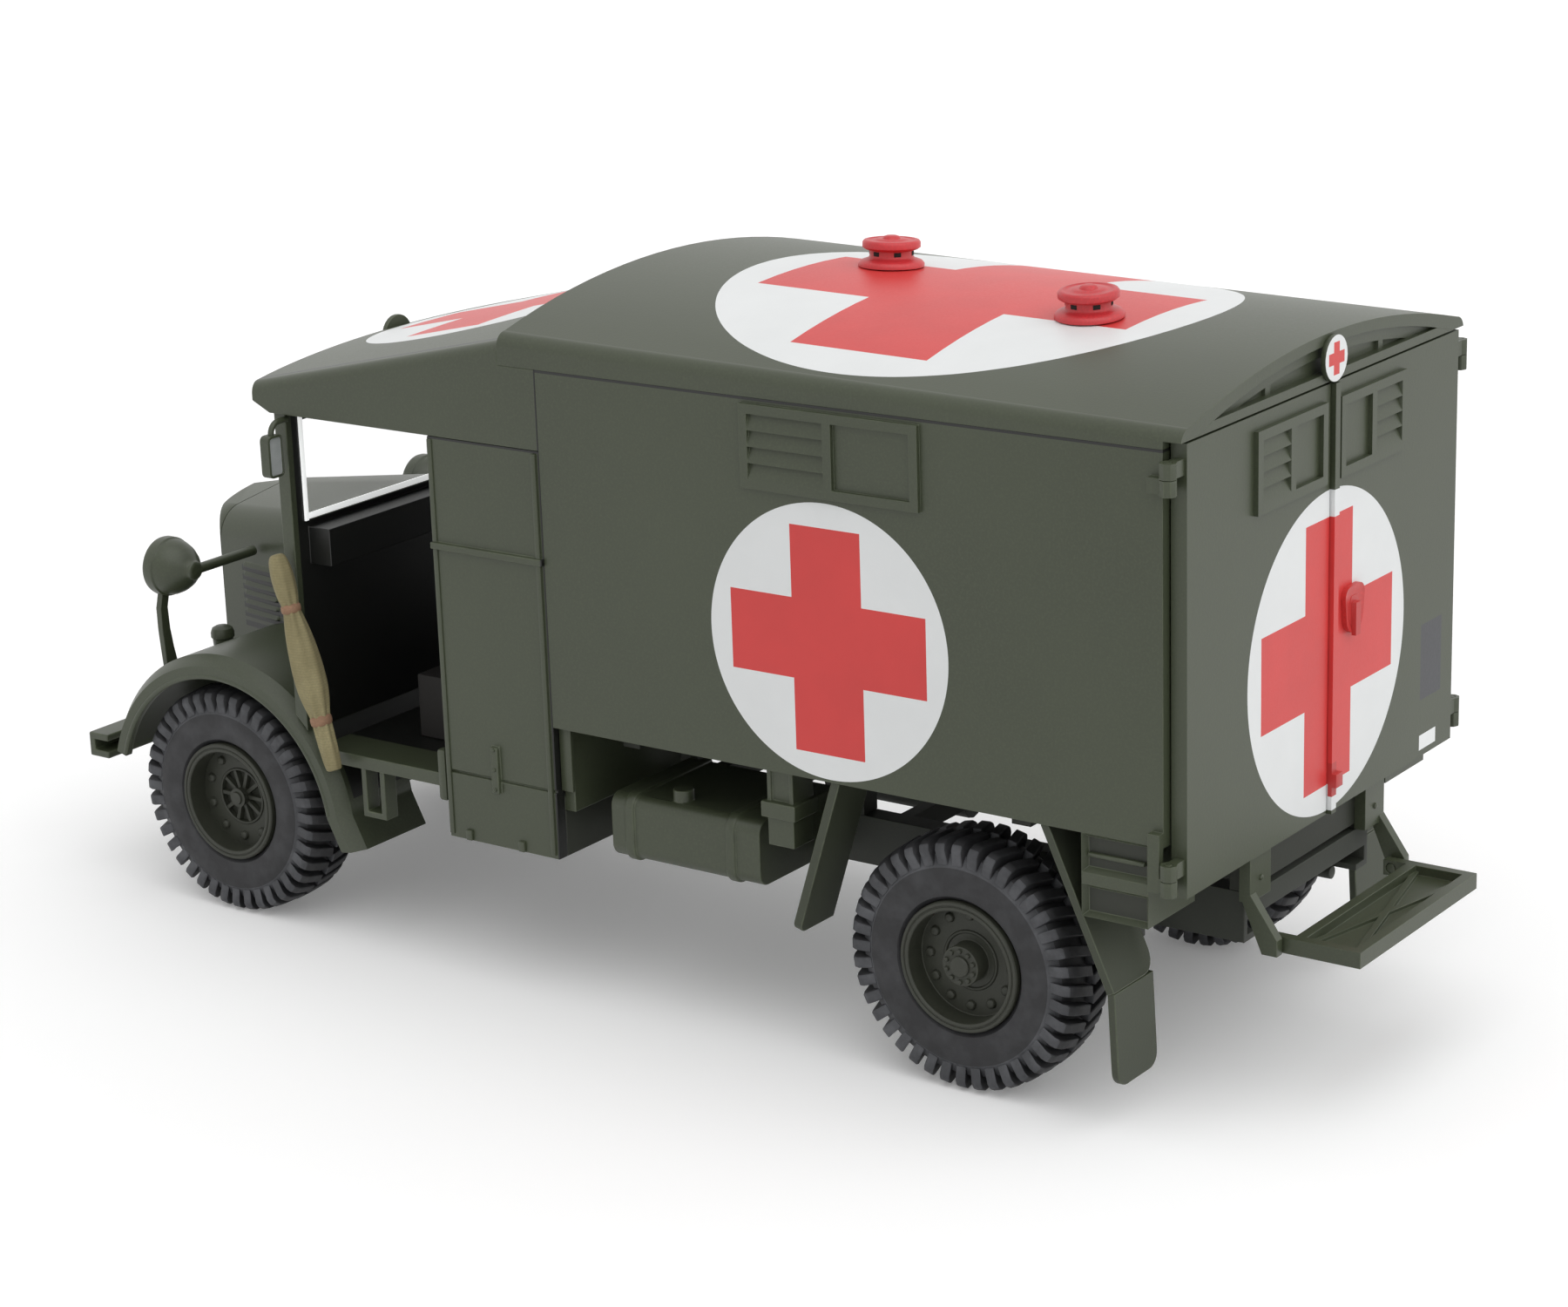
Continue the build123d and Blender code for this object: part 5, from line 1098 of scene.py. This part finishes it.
# Limits along x, y and z, and how far the edges are rounded
BARS = (
    ((4.0, 4.45), (FACE_Y - 0.1, FACE_Y + 0.2), (12.0, 43.2), 0.1),
    ((14.05, 14.5), (FACE_Y - 0.1, FACE_Y + 0.12), (12.0, 43.2), 0.08),
    ((12.2, 12.8), (FACE_Y - 0.1, FACE_Y + 0.25), (11.75, 12.6), 0.1),
    ((7.0, 7.6), (FACE_Y - 0.1, FACE_Y + 0.25), (11.75, 12.6), 0.1),
    ((14.75, 15.6), (19.9, 20.75), (14.4, 18.6), 0.28),
    ((2.6, 3.7), (19.85, 20.2), (17.1, 22.1), 0.05),
)
bm = bmesh.new()
for bar in BARS:
    add_bar(bm, *bar)
for z in (16.4, 18.0, 19.6):
    add_bolt(bm, (9.45, FACE_Y + 0.33, z), (0, 1, 0), 0.17, 0.14)
add_bolt(bm, (-49.33, 8.7, 16.5), (-1, 0, 0), 0.24, 0.2)
both_sides(bm)
fittings = add_piece("side_fittings", bm, "truck", "body_green", body_paint)
print("fitting faces", len(fittings.data.polygons))

# %% [markdown]
# ## Light and floor
# The picture is a product shot: white floor, white surroundings and hardly any shadow. A white world
# lights every side evenly. One very soft sun above gives the roof its lift and the floor its shadow, and
# a second one behind the truck gives the doors their sheen.

# %% The floor and the light
RAYS = ("Camera", "Glossy", "Transmission")
FLOOR_HALF = 3.0


def seen_rays(start):
    """1 for rays from the camera, also by a sheen or through clear plastic, and 0 for those that light."""
    rays = [start.node("ShaderNodeLightPath", {}, {}, out=f"Is {kind} Ray") for kind in RAYS]
    return start.math("MAXIMUM", start.math("MAXIMUM", rays[0], rays[1]), rays[2])


def lay_floor():
    mesh = bpy.data.meshes.new("floor")
    bm = bmesh.new()
    bmesh.ops.create_grid(bm, x_segments=2, y_segments=2, size=FLOOR_HALF)
    bm.to_mesh(mesh)
    bm.free()
    floor = bpy.data.objects.new("floor", mesh)
    bpy.context.collection.objects.link(floor)
    material, start, shader = new_finish("floor_white")
    tone = contrast(noise(start, 2.0), 0.2, 0.8).mix(colour("F7F7F7"), colour("FAFAFA"))
    seen = seen_rays(start)
    start.tree.links.new(seen.mix(colour("E4E4E4"), tone).socket, shader.inputs["Base Color"])
    start.tree.links.new(seen.mix(colour("000000"), colour("696969")).socket, shader.inputs["Emission Color"])
    shader.inputs["Emission Strength"].default_value = 1.0
    shader.inputs["Roughness"].default_value = 0.9
    shader.inputs["Specular IOR Level"].default_value = 0.1
    put_on(floor, material)


def add_sky_light(name, towards, level, spread):
    """A very soft sun. level is how bright a white floor gets from it alone."""
    lamp = bpy.data.lights.new(name, "SUN")
    lamp.energy = level * math.pi
    lamp.angle = math.radians(spread)
    holder = bpy.data.objects.new(name, lamp)
    holder.rotation_euler = (-Vector(towards)).to_track_quat("-Z", "Y").to_euler()
    bpy.context.collection.objects.link(holder)


lay_floor()
add_sky_light("top_light", (-0.35, 0.25, 0.9), 0.33, 70)
add_sky_light("rear_light", (-0.85, -0.3, 0.42), 0.19, 70)

world = bpy.data.worlds.new("white_room")
bpy.context.scene.world = world
world.use_nodes = True
sky = Wire(world.node_tree)
room = world.node_tree.nodes["Background"]
seen = seen_rays(sky)
world.node_tree.links.new((seen * 0.35 + 0.65).socket, room.inputs["Strength"])
room.inputs["Color"].default_value = (1, 1, 1, 1)
bpy.context.scene.view_settings.view_transform = "Standard"
print("lamps", len(bpy.data.lights))

# %% [markdown]
# ## The camera
# The picture was taken with a long lens off the left rear corner, looking down by about 17 degrees. The
# place and the three directions come from matching the wheels, the body's corners and the roof line.

# %% The camera
EYE = Vector((-0.163707, 0.221104, 0.105830))
LOOK = Vector((0.56372, -0.77402, -0.28829))
RIGHT = Vector((-0.81355, -0.58061, -0.03195))
UP = Vector((0.14265, -0.25255, 0.95700))
lens = bpy.data.cameras.new("camera")
lens.sensor_width = 36.0
lens.sensor_fit = "HORIZONTAL"
lens.lens = 4203.995 / 1800 * lens.sensor_width
lens.clip_start = 0.005
lens.clip_end = 20.0
camera = bpy.data.objects.new("camera", lens)
turn = Matrix((RIGHT, UP, -LOOK)).transposed().to_4x4()
camera.matrix_world = Matrix.Translation(EYE) @ turn
bpy.context.collection.objects.link(camera)
bpy.context.scene.camera = camera
print("lens in mm", round(lens.lens, 2))
